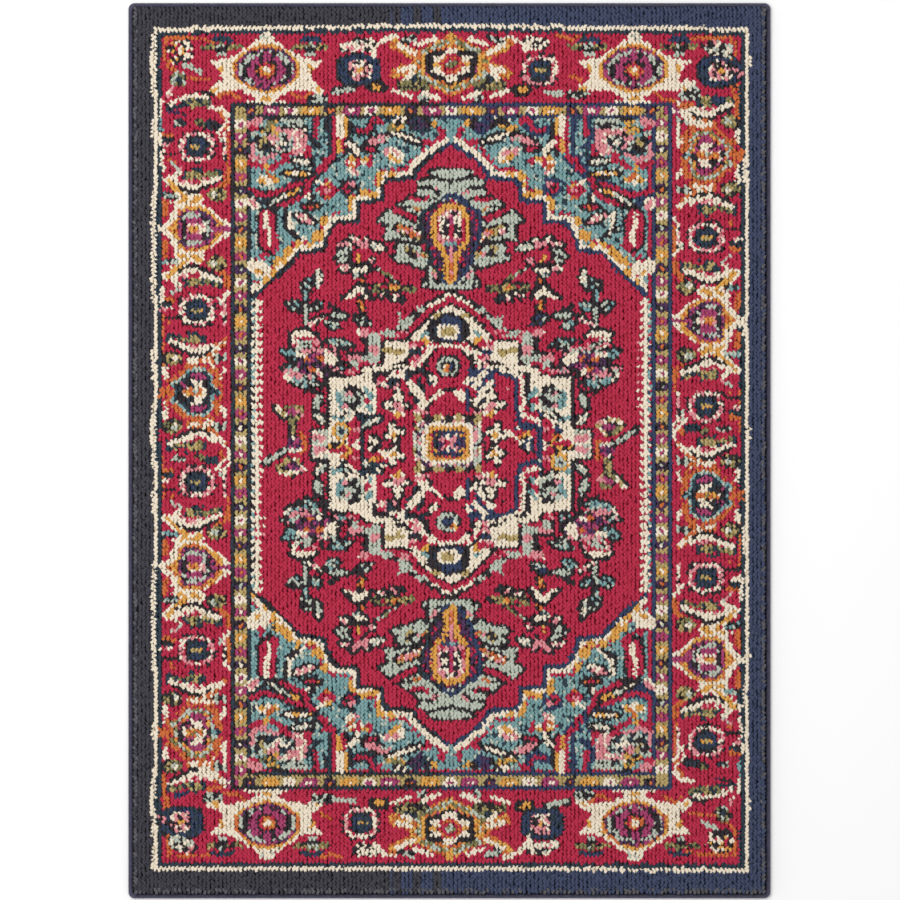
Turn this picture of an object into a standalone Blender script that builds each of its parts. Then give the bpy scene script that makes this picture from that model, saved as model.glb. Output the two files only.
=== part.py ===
"""Area rug: a woven ground with cut pile in bands and a medallion field, edged with a wound cord.

Metres, +Z up. The origin is on the floor under the middle of the rug, and the length runs along Y.
Each yarn area of the pile is a plain block here, standing just clear of the ground weave and of its neighbours.
"""

import math

import bpy

# Driving dimensions
RUG_WIDTH = 0.660
RUG_LENGTH = 0.920
PILE_TOP = 0.0118
LIP_CORNER_RADIUS = 0.0006

COATING_THICKNESS = 0.0008
GROUND_THICKNESS = 0.0018
SERGING_THICKNESS = 0.0008
CORD_DIAMETER = 0.0034
SERGING_LAP = 0.0012

# Widths of the pile bands, from the edging inwards
OUTER_BORDER_SIDE = 0.0165
OUTER_BORDER_END = 0.0190
IVORY_LINE = 0.0046
NAVY_LINE = 0.0036
MAIN_BORDER_SIDE = 0.0734
MAIN_BORDER_END = 0.0700
GUARD_STRIPE_SIDE = 0.0198
GUARD_STRIPE_END = 0.0162

# Corner spandrels: how far each stops from the field's two middle lines, and how many steps its edge takes
SPANDREL_FROM_LONG_MIDDLE = 0.0081
SPANDREL_FROM_CROSS_MIDDLE = 0.1626
SPANDREL_STEPS = 5

# How far the medallion's tips stop from the field's sides and ends
MEDALLION_FROM_SIDE = 0.0591
MEDALLION_FROM_END = 0.1786
MEDALLION_STEPS = 4
PENDANT_HALF_WIDTH = 0.034
PENDANT_LENGTH = 0.084
PENDANT_FROM_MEDALLION = 0.010

# Clearances
STACK_GAP = 0.0003
BAND_GAP = 0.0004

# Sizes that follow
SERGING_RADIUS = CORD_DIAMETER / 2 + STACK_GAP + SERGING_THICKNESS
SERGING_BORE = CORD_DIAMETER / 2 + STACK_GAP
CORD_CENTRE_IN = SERGING_RADIUS
GROUND_EDGE_IN = SERGING_RADIUS + SERGING_BORE
LIP_IN = GROUND_EDGE_IN + SERGING_LAP
CORNER_RADIUS = LIP_IN + LIP_CORNER_RADIUS
GROUND_BOTTOM = SERGING_THICKNESS + STACK_GAP
GROUND_TOP = GROUND_BOTTOM + GROUND_THICKNESS
PILE_BOTTOM = GROUND_TOP + STACK_GAP

PARTS = "area_rug"


def clear_scene():
    for obj in list(bpy.data.objects):
        bpy.data.objects.remove(obj)
    parts = bpy.data.collections.new(PARTS)
    bpy.context.scene.collection.children.link(parts)
    return parts


def finish(name, colour, roughness):
    """A plain yarn or coating finish."""
    material = bpy.data.materials.new(name)
    material.use_nodes = True
    shader = material.node_tree.nodes["Principled BSDF"]
    shader.inputs["Base Color"].default_value = (*colour, 1.0)
    shader.inputs["Roughness"].default_value = roughness
    shader.inputs["Metallic"].default_value = 0.0
    material.diffuse_color = (*colour, 1.0)
    return material


def rectangle(half_x, half_y):
    return [(-half_x, -half_y), (half_x, -half_y), (half_x, half_y), (-half_x, half_y)]


def rounded_rectangle(half_x, half_y, radius, turns=6):
    """A rectangle with each corner an arc of equal steps, anticlockwise."""
    points = []
    for quarter, (sx, sy) in enumerate([(1, 1), (-1, 1), (-1, -1), (1, -1)]):
        for step in range(turns + 1):
            angle = math.radians(90 * (quarter + step / turns))
            x = sx * (half_x - radius) + radius * math.cos(angle)
            y = sy * (half_y - radius) + radius * math.sin(angle)
            points.append((x, y))
    return points


def rug_outline(inset):
    """The rug's own outline, moved inwards by an amount smaller than its corner radius."""
    radius = CORNER_RADIUS - inset
    return rounded_rectangle(RUG_WIDTH / 2 - inset, RUG_LENGTH / 2 - inset, radius)


def grown(outline, distance):
    """The anticlockwise outline moved outwards by a distance, with its corners kept sharp."""
    moved = []
    count = len(outline)
    for i, (x, y) in enumerate(outline):
        x0, y0 = outline[i - 1]
        x1, y1 = outline[(i + 1) % count]
        before = math.hypot(x - x0, y - y0)
        after = math.hypot(x1 - x, y1 - y)
        nx0, ny0 = (y - y0) / before, (x0 - x) / before
        nx1, ny1 = (y1 - y) / after, (x - x1) / after
        spread = distance / (1 + nx0 * nx1 + ny0 * ny1)
        moved.append((x + (nx0 + nx1) * spread, y + (ny0 + ny1) * spread))
    return moved


def flat_piece(parts, name, outlines, bottom, top, material):
    """A flat piece with the given outline, and a hole for each further outline."""
    curve = bpy.data.curves.new(name, "CURVE")
    curve.dimensions = "2D"
    curve.fill_mode = "BOTH"
    curve.extrude = (top - bottom) / 2
    for outline in outlines:
        spline = curve.splines.new("POLY")
        spline.points.add(len(outline) - 1)
        for point, (x, y) in zip(spline.points, outline):
            point.co = (x, y, 0, 1)
        spline.use_cyclic_u = True
    piece = bpy.data.objects.new(name, curve)
    piece.location.z = (top + bottom) / 2
    curve.materials.append(material)
    parts.objects.link(piece)
    return piece


def swept_ring(parts, name, profile, inset, height, material):
    """A closed profile carried all the way round the rug's edge."""
    section = bpy.data.curves.new(name + "_section", "CURVE")
    section.dimensions = "2D"
    spline = section.splines.new("POLY")
    spline.points.add(len(profile) - 1)
    for point, (inwards, up) in zip(spline.points, reversed(profile)):
        point.co = (inwards, up, 0, 1)
    spline.use_cyclic_u = True
    guide = bpy.data.objects.new(name + "_section", section)
    guide.hide_render = True
    guide.display_type = "WIRE"
    bpy.data.collections["guides"].objects.link(guide)

    path = bpy.data.curves.new(name, "CURVE")
    path.dimensions = "2D"
    path.fill_mode = "NONE"
    path.bevel_mode = "OBJECT"
    path.bevel_object = guide
    route = path.splines.new("POLY")
    outline = rug_outline(inset)
    route.points.add(len(outline) - 1)
    for point, (x, y) in zip(route.points, outline):
        point.co = (x, y, 0, 1)
    route.use_cyclic_u = True
    piece = bpy.data.objects.new(name, path)
    piece.location.z = height
    path.materials.append(material)
    parts.objects.link(piece)
    return piece


def edge_pieces(parts):
    """The core cord, and the wound serging that wraps it and laps the ground weave's edge."""
    cord = finish("cotton_core", (0.62, 0.56, 0.45), 0.9)
    sides = 12
    circle = []
    for k in range(sides):
        angle = 2 * math.pi * k / sides
        circle.append(
            (CORD_DIAMETER / 2 * math.cos(angle), CORD_DIAMETER / 2 * math.sin(angle))
        )
    swept_ring(parts, "edge_cord", circle, CORD_CENTRE_IN, SERGING_RADIUS, cord)

    yarn = finish("serging_yarn", (0.028, 0.028, 0.055), 0.75)
    lip = LIP_IN - CORD_CENTRE_IN
    opening = GROUND_TOP + STACK_GAP - SERGING_RADIUS
    start = math.degrees(math.asin(opening / SERGING_BORE))
    arc = 12
    profile = []
    for k in range(arc + 1):
        angle = math.radians(start + (270 - start) * k / arc)
        profile.append(
            (SERGING_RADIUS * math.cos(angle), SERGING_RADIUS * math.sin(angle))
        )
    profile.append((lip, -SERGING_RADIUS))
    profile.append((lip, -SERGING_BORE))
    for k in range(arc + 1):
        angle = math.radians(270 - (270 - start) * k / arc)
        profile.append((SERGING_BORE * math.cos(angle), SERGING_BORE * math.sin(angle)))
    swept_ring(parts, "edge_serging", profile, CORD_CENTRE_IN, SERGING_RADIUS, yarn)


def base_pieces(parts):
    """The woven ground, and the coating that locks the pile on its underside."""
    weave = finish("jute_ground", (0.42, 0.33, 0.22), 0.9)
    outline = rug_outline(GROUND_EDGE_IN)
    flat_piece(parts, "ground_weave", [outline], GROUND_BOTTOM, GROUND_TOP, weave)
    latex = finish("latex_coating", (0.56, 0.50, 0.38), 0.7)
    outline = rug_outline(LIP_IN + BAND_GAP)
    flat_piece(parts, "back_coating", [outline], 0.0, COATING_THICKNESS, latex)


def band(parts, name, corner, widths, colour, outer=None):
    """A frame of pile, returning the corner from which the next band starts."""
    half_x, half_y = corner
    inner_x = half_x - widths[0]
    inner_y = half_y - widths[1]
    outlines = [outer or rectangle(half_x, half_y), rectangle(inner_x, inner_y)]
    yarn = finish(name + "_yarn", colour, 0.95)
    flat_piece(parts, name, outlines, PILE_BOTTOM, PILE_TOP, yarn)
    return inner_x - BAND_GAP, inner_y - BAND_GAP


def border_bands(parts):
    """The bands of the border, from the edging to the field."""
    edging = 2 * SERGING_RADIUS + BAND_GAP
    corner = (RUG_WIDTH / 2 - edging, RUG_LENGTH / 2 - edging)
    widths = (OUTER_BORDER_SIDE, OUTER_BORDER_END)
    charcoal = (0.040, 0.042, 0.062)
    corner = band(parts, "outer_border_pile", corner, widths, charcoal, rug_outline(edging))
    corner = band(parts, "ivory_line_pile", corner, (IVORY_LINE,) * 2, (0.56, 0.50, 0.42))
    corner = band(parts, "navy_line_pile", corner, (NAVY_LINE,) * 2, (0.03, 0.04, 0.06))
    widths = (MAIN_BORDER_SIDE, MAIN_BORDER_END)
    corner = band(parts, "main_border_pile", corner, widths, (0.30, 0.03, 0.05))
    widths = (GUARD_STRIPE_SIDE, GUARD_STRIPE_END)
    return band(parts, "guard_stripe_pile", corner, widths, (0.20, 0.13, 0.05))


def stepped_corner(corner, sx, sy):
    """A spandrel's outline in the corner (sx, sy) of the field, with a stair of equal steps for its long edge."""
    half_x, half_y = corner
    points = [(half_x, half_y), (SPANDREL_FROM_LONG_MIDDLE, half_y)]
    run = (half_x - SPANDREL_FROM_LONG_MIDDLE) / SPANDREL_STEPS
    rise = (half_y - SPANDREL_FROM_CROSS_MIDDLE) / SPANDREL_STEPS
    for k in range(SPANDREL_STEPS):
        x = SPANDREL_FROM_LONG_MIDDLE + run * k
        y = half_y - rise * (k + 1)
        points.append((x, y))
        points.append((x + run, y))
    placed = [(sx * x, sy * y) for x, y in points]
    return placed if sx * sy > 0 else placed[::-1]


def bay(outline, corner, sx, sy):
    """The stair that the field's outline takes round a spandrel, anticlockwise about the field."""
    moved = grown(outline, BAND_GAP)
    stair = moved[2:-1] if sx * sy > 0 else moved[1:-2][::-1]
    start = (stair[0][0], sy * corner[1])
    end = (sx * corner[0], stair[-1][1])
    stair = [start] + stair + [end]
    return stair[::-1] if sx * sy > 0 else stair


def stepped_diamond(half_x, half_y, steps):
    """A lozenge whose four sides are stairs of equal steps, anticlockwise from its right-hand side."""
    stair = []
    for k in range(steps):
        x = half_x * (steps - k) / steps
        stair.append((x, half_y * k / steps))
        stair.append((x, half_y * (k + 1) / steps))
    quarter = stair[1:]
    left = [(-x, y) for x, y in quarter[::-1]]
    upper = quarter + left
    return upper + [(-x, -y) for x, y in upper]


def field_pieces(parts, corner):
    """The field, its corner spandrels, the medallion and its two pendants."""
    field = []
    for sx, sy in [(1, 1), (-1, 1), (-1, -1), (1, -1)]:
        outline = stepped_corner(corner, sx, sy)
        name = "spandrel_" + ("back_" if sy > 0 else "front_") + ("right" if sx > 0 else "left")
        colour = finish(name + "_yarn", (0.14, 0.21, 0.23), 0.95)
        flat_piece(parts, name, [outline], PILE_BOTTOM, PILE_TOP, colour)
        field.extend(bay(outline, corner, sx, sy))

    half_x = corner[0] - MEDALLION_FROM_SIDE
    half_y = corner[1] - MEDALLION_FROM_END
    lozenge = stepped_diamond(half_x, half_y, MEDALLION_STEPS)
    holes = [grown(lozenge, BAND_GAP)]
    ivory = finish("medallion_yarn", (0.50, 0.42, 0.34), 0.95)
    flat_piece(parts, "medallion_pile", [lozenge], PILE_BOTTOM, PILE_TOP, ivory)

    teal = finish("pendant_yarn", (0.16, 0.20, 0.20), 0.95)
    centre = half_y + PENDANT_FROM_MEDALLION + PENDANT_LENGTH / 2
    for sy, side in [(1, "back"), (-1, "front")]:
        drop = [(x, y + sy * centre) for x, y in pendant_outline()]
        flat_piece(parts, "pendant_" + side, [drop], PILE_BOTTOM, PILE_TOP, teal)
        holes.append(grown(drop, BAND_GAP))

    crimson = finish("field_yarn", (0.33, 0.02, 0.045), 0.95)
    flat_piece(parts, "field_pile", [field] + holes, PILE_BOTTOM, PILE_TOP, crimson)


def pendant_outline():
    """A hexagon, long along Y, with its centre at the origin."""
    waist = PENDANT_LENGTH / 4
    tip = PENDANT_LENGTH / 2
    w = PENDANT_HALF_WIDTH
    return [(w, -waist), (w, waist), (0, tip), (-w, waist), (-w, -waist), (0, -tip)]


def main():
    parts = clear_scene()
    guides = bpy.data.collections.new("guides")
    bpy.context.scene.collection.children.link(guides)
    base_pieces(parts)
    edge_pieces(parts)
    field_pieces(parts, border_bands(parts))


main()
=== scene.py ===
import math

import bmesh
import bpy
import numpy as np
from mathutils import Matrix, Vector


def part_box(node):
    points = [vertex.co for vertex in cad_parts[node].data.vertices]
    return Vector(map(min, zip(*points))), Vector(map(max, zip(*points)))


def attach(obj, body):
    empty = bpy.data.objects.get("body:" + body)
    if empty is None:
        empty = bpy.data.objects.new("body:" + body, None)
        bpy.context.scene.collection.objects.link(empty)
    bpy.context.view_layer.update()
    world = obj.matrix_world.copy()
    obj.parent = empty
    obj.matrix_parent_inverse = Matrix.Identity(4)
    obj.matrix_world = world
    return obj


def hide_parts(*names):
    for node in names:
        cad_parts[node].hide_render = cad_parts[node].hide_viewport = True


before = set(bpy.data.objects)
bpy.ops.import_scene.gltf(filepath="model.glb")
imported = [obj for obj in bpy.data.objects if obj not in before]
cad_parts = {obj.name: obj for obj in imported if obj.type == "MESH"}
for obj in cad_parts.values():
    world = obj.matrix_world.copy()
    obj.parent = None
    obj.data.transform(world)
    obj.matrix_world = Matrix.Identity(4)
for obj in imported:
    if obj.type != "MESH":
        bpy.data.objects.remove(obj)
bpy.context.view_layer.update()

rng = np.random.default_rng(7)


# Camera. It looks straight down on the middle of the rug through a long lens, so the pile's sides hardly
# show.
low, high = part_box("edge_serging")
rug_width = high[0] - low[0]
rug_length = high[1] - low[1]
camera_height = 5.0
share_of_frame = 0.9944
sensor = 36.0
lens = bpy.data.cameras.new("camera")
lens.sensor_width = sensor
lens.lens = sensor * camera_height * share_of_frame / rug_length
lens.clip_end = 4 * camera_height
camera = bpy.data.objects.new("camera", lens)
camera.location = (0.0006, 0.0007, camera_height)
bpy.context.scene.collection.objects.link(camera)
bpy.context.scene.camera = camera


# Floor and light. A seamless pale floor under a large soft overhead light and an even pale sky, as in a
# product studio, so that the pile shades itself only between its tufts.
def srgb(code):
    """The linear colour of an sRGB hex value."""
    channels = [int(code[i : i + 2], 16) / 255 for i in (0, 2, 4)]
    return [c / 12.92 if c <= 0.04045 else ((c + 0.055) / 1.055) ** 2.4 for c in channels]


def add(material, kind, links=(), **settings):
    """A node of this kind, with its settings, its socket values and its links from other nodes' sockets."""
    tree = material.node_tree
    node = tree.nodes.new(kind)
    for name, value in settings.items():
        if hasattr(node, name):
            setattr(node, name, value)
        else:
            node.inputs[name.replace("_", " ")].default_value = value
    for socket, source in dict(links).items():
        tree.links.new(source, node.inputs[socket])
    return node


def new_material(name):
    material = bpy.data.materials.new(name)
    material.use_nodes = True
    return material, material.node_tree.nodes["Principled BSDF"]


def link_piece(name, mesh, material):
    piece = bpy.data.objects.new(name, mesh)
    mesh.materials.clear()
    mesh.materials.append(material)
    bpy.context.scene.collection.objects.link(piece)
    return piece


floor_size = 60.0
paper, shader = new_material("studio_paper")
shader.inputs["Base Color"].default_value = (*srgb("F4F4F4"), 1)
shader.inputs["Roughness"].default_value = 0.9
bm = bmesh.new()
bmesh.ops.create_grid(bm, x_segments=1, y_segments=1, size=floor_size / 2)
mesh = bpy.data.meshes.new("floor")
bm.to_mesh(mesh)
bm.free()
floor = link_piece("floor", mesh, paper)
floor.location.z = -0.0002

world = bpy.data.worlds.new("studio")
world.use_nodes = True
sky = world.node_tree.nodes["Background"]
sky.inputs["Color"].default_value = (1, 1, 1, 1)
sky.inputs["Strength"].default_value = 0.71
bpy.context.scene.world = world
softbox = bpy.data.lights.new("softbox", "AREA")
softbox.shape = "RECTANGLE"
softbox.size = 1.6
softbox.size_y = 1.2
softbox.energy = 30
lamp = bpy.data.objects.new("softbox", softbox)
lamp.location = (-0.7, 0.5, 2.1)
lamp.rotation_euler = (-lamp.location).to_track_quat("-Z", "Y").to_euler()
bpy.context.scene.collection.objects.link(lamp)
bpy.context.scene.view_settings.view_transform = "Standard"


# Knot plan. The weaver's drawing is laid out in knots, counted from the middle of the rug: one knot is the
# width of a pile column, and each knot is two cut ends long. Every end then takes the yarn drawn there.
pile_low, pile_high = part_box("outer_border_pile")
columns = 156
rows = 438
knot = (pile_high[0] - pile_low[0]) / columns
row_pitch = (pile_high[1] - pile_low[1]) / rows
X, Y = np.meshgrid(
    np.arange(columns) - (columns - 1) / 2,
    (np.arange(rows) - (rows - 1) / 2) * row_pitch / knot,
)
lean_side = np.where(np.arange(rows) % 2 == 0, 1.0, -1.0)[:, None]
X = X + 0.17 * lean_side
plan = np.full(X.shape, "H")
# S is no yarn of the rug: its paler grey is painted light, for the lit sides of the tufts along the edge.
YARNS = {
    "C": ("crimson", "B22645"), "H": ("charcoal", "3C3B43"), "N": ("navy", "323E5C"),
    "I": ("ivory", "E6DAC6"), "K": ("ink", "2E272B"), "D": ("deep_teal", "2B3945"), "T": ("teal", "789C9D"),
    "M": ("mint", "B6BCAE"), "G": ("gold", "D59E4C"), "R": ("rust", "C66A38"), "P": ("pink", "D58A90"),
    "A": ("magenta", "A23E69"), "O": ("olive", "7D7850"), "U": ("purple", "4D2F52"),
    "Y": ("khaki", "B09B66"), "B": ("blue", "3C4560"), "S": ("slate", "56555B"),
}
fleck = rng.random(X.shape)


def polygon(points, sheet):
    """The ends of the plan inside an outline."""
    x, y = sheet
    inside = np.zeros(x.shape, bool)
    for (x0, y0), (x1, y1) in zip(points, points[1:] + points[:1]):
        if y0 != y1:
            crosses = (y0 > y) != (y1 > y)
            inside ^= crosses & (x < x0 + (y - y0) * (x1 - x0) / (y1 - y0))
    return inside


def along(points, width, sheet):
    """The ends within half a width of a line."""
    x, y = sheet
    best = np.full(x.shape, 1e9)
    for (x0, y0), (x1, y1) in zip(points, points[1:]):
        dx, dy = x1 - x0, y1 - y0
        t = np.clip(((x - x0) * dx + (y - y0) * dy) / max(dx * dx + dy * dy, 1e-9), 0, 1)
        best = np.minimum(best, np.hypot(x - x0 - t * dx, y - y0 - t * dy))
    return best < width / 2


def oval(x, y, half_width, half_height, sheet, power=2.0):
    """The ends inside an oval, which a higher power squares off."""
    across = np.abs(sheet[0] - x) / half_width
    up = np.abs(sheet[1] - y) / half_height
    return across**power + up**power < 1


def paint(mask, mix):
    """Fills the ends with a yarn, or with an even mix of several, knot by knot."""
    letters = np.array(list(mix))
    plan[mask] = letters[(fleck[mask] * len(letters)).astype(int)]


def draw(sheet, strokes):
    """Draws (mix, width, points) lines in their order. A width of 0 fills the outline instead."""
    for mix, width, *points in strokes:
        paint(polygon(points, sheet) if width == 0 else along(points, width, sheet), mix)


def leaf(sheet, tip, heel, width, mix):
    """A pointed leaf between two points, with an ink outline."""
    line = 0.7
    x, y = sheet
    dx, dy = heel[0] - tip[0], heel[1] - tip[1]
    length = math.hypot(dx, dy)
    t = ((x - tip[0]) * dx + (y - tip[1]) * dy) / length**2
    off = np.abs((x - tip[0]) * dy - (y - tip[1]) * dx) / length
    bulge = 1 - (2 * t - 1) ** 2
    paint((off < width / 2 * bulge + line) & (t > -line / length) & (t < 1 + line / length), "K")
    paint((off < width / 2 * bulge) & (t > 0) & (t < 1), mix)


def at(sheet, x, y):
    """The sheet with its middle moved to a point, for drawing one motif there."""
    return sheet[0] - x, sheet[1] - y


whole = (X, Y)
turned = (0.6 - X, 1.8 - Y)
mirrored = (np.abs(X - 0.4) - 0.4, np.abs(Y - 1.5) + 1.5)
wobble = 0.35 * np.sin(Y / 7.3 + 1) + 0.25 * np.sin(Y / 2.9) + rng.normal(0, 0.06, X.shape)
bow = 0.75 * (1 - (X / 72) ** 2) * (Y > 0) - 0.3 * (X / 72) * (Y < 0) + rng.normal(0, 0.06, X.shape)
frame_x = np.abs(X - 0.3) - wobble * 0.6
stripe_x = np.abs(X - 0.4)
frame_y = np.where(Y > 0, Y - bow - 101.9, -Y + bow * 0.8 - 101.4)


# Border lines. Bands frame the field: the plain outer border, an ivory line, a dark line, the wide crimson
# main border and the guard stripe. The outer border's yarn changes from charcoal to blue, which alternate
# in between.
plan[X > -14.5] = "B"
plan[(X > -15) & (X < -2) & np.isin(np.round(X - 0.5) % 5, (1, 2))] = "H"
zone = np.full(X.shape, "outer_border", "<U24")
for name, mix, side, end in (
    ("ivory_line", "I", 73.7, 2.5), ("navy_line", "D", 72.6, 1.5), ("main_border", "C", 71.3, 0.5),
):
    band = (frame_x < side) & (frame_y < end)
    paint(band, mix)
    zone[band] = name
field_top = 82.0
field_bottom = -79.5


def framed(side, top, bottom):
    """The ends inside a frame whose sides, top and bottom are this far from the middle."""
    return (stripe_x < side) & (Y < top) & (Y > bottom)


stripe_rim = framed(54.6, 85.8, -83.8)
stripe_ground = framed(53.6, 84.9, -82.9)
field_rim = framed(50.4, 82.8, -80.3)
field_ground = framed(49.4, field_top, field_bottom)
for name, mix, band in (
    ("guard_stripe", "L", stripe_rim), ("guard_stripe", "Y", stripe_ground),
    ("guard_stripe", "L", field_rim), ("field", "C", field_ground),
):
    paint(band, mix)
    zone[band] = name
# Painted light: half the ends of the outermost column on each side and of the bottom rows take a paler grey,
# standing in for the lit sides of the tufts beside the serging.
lit_edge_ends = (np.abs(X) > 76.8) | (Y < -108.2)
paint(lit_edge_ends & (fleck > 0.5), "S")


# Guard stripe. Small square flowers follow each other along a khaki ground, four kinds along the ends and
# six along the sides. The drawing turns half round from one side of the rug to the other.
def floret(sheet, x, y, half_width, half_height, mix, heart):
    """A small square flower with its heart."""
    paint(oval(x, y, half_width, half_height, sheet, 2.6), mix)
    paint(oval(x, y, half_width * 0.42, half_height * 0.4, sheet, 2), heart)


for sheet in (whole, turned):
    top_kinds = (("I", "A", 1.7), ("G", "IG", 2.3), ("UK", "R", 1.5), ("A", "I", 2.2))
    for number in range(-6, 16):
        mix, heart, half = top_kinds[number % 4]
        floret(sheet, -19.3 + 4.95 * number, 83.9, half, 1.25, mix, heart)
    side_kinds = (("I", "A"), ("A", "I"), ("UK", "R"), ("G", "I"), ("A", "R"), ("UK", "IM"))
    for number in range(50):
        mix, heart = side_kinds[number % 6]
        floret(sheet, -51.7, 80.5 - 3.256 * number, 1.5, 1.15, mix, heart)
paint(stripe_rim & ~stripe_ground, "L")
paint(field_rim, "L")
paint(field_ground, "C")


# Zigzag. Along each side of the crimson field runs a narrow ivory band that ends in sharp teeth, with a
# teal dot behind each tooth.
tooth = np.abs((Y / 1.97) % 1 - 0.5) * 2
between_corners = (Y < 37.5) & (Y > -34.8)
toothed = between_corners & (stripe_x > 46 + 2.2 * tooth)
paint(toothed & (stripe_x < 49.2), "I")
paint(toothed & (stripe_x < 46.7), "IP")
paint(between_corners & (stripe_x > 48.4) & (stripe_x < 49.4) & (tooth > 0.5), "TL")


# Spandrels. A teal corner piece stands in each corner of the field behind a stepped edge of navy, ivory and
# crimson with gold, and carries flowers, leaves and bars in crimson, ivory, gold, pink and ink.
stair = [
    (0.1, 75.6), (4, 73), (6.1, 71.3), (8.2, 69), (9, 67.2), (15.4, 66.9), (16.5, 65.3), (16.6, 61.8),
    (22.4, 61.3), (22.7, 56.5), (28.1, 56.1), (29.2, 54.6), (30.4, 52), (31.1, 49.3), (36.9, 48.9),
    (38.4, 47.2), (40.1, 45.2), (41.8, 43.6), (44.1, 41.7), (46.1, 39.9), (49.3, 37.4),
]
inside_sides = np.abs(X) < 49.2
corner = polygon([(-1, 76.6), *stair, (49.3, field_top), (-1, field_top)], mirrored) & inside_sides
corner &= (Y < field_top) & (Y > field_bottom)
paint(corner, "TTTTTTMTTD")
spandrel_zone = corner | (along(stair, 1.0, mirrored) & inside_sides)
zone[spandrel_zone] = "spandrel"
kept = plan.copy()
draw(mirrored, [("CCT", 1.3, *[(x + 1.4, y + 2.0) for x, y in stair])])
plan[~corner] = kept[~corner]
draw(mirrored, [
    ("C", 1.6, (2, 79), (1, 76.5), (3, 75.3)), ("C", 1.6, (3, 75.3), (6, 76.2)),
    ("I", 1.5, *[(x + 0.75, y + 1.0) for x, y in stair]), ("G", 1.5, (14.2, 68.4), (14.6, 68.3)),
    ("G", 1.6, (17, 68.2), (17.3, 67.2)), ("G", 1.5, (17.6, 65.8), (17.4, 65.4)),
    ("G", 1.4, (18, 62.9), (22.4, 63.8)), ("G", 1.5, (24, 62.4), (24.3, 61.7)),
    ("G", 1.4, (24.4, 60.3), (24.4, 59.9)), ("G", 1.7, (30.8, 57.2), (31, 56.2)),
    ("G", 2.6, (32.2, 53.2), (33, 52.8)), ("G", 1.5, (34.2, 50.8), (34.5, 50.6)),
    ("G", 1.7, (37.2, 51), (37.4, 50.7)), ("G", 2, (39.6, 49.3), (41.1, 47)),
    ("G", 1.6, (42.6, 47), (42.8, 46.2)), ("G", 1.6, (43.2, 44.4), (43.6, 43.8)),
    ("G", 1.5, (45.3, 42), (45.5, 41)), ("G", 1.4, (48, 38.8), (48.4, 38.5)), ("N", 1.1, *stair),
])
plan[~spandrel_zone] = kept[~spandrel_zone]
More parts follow.
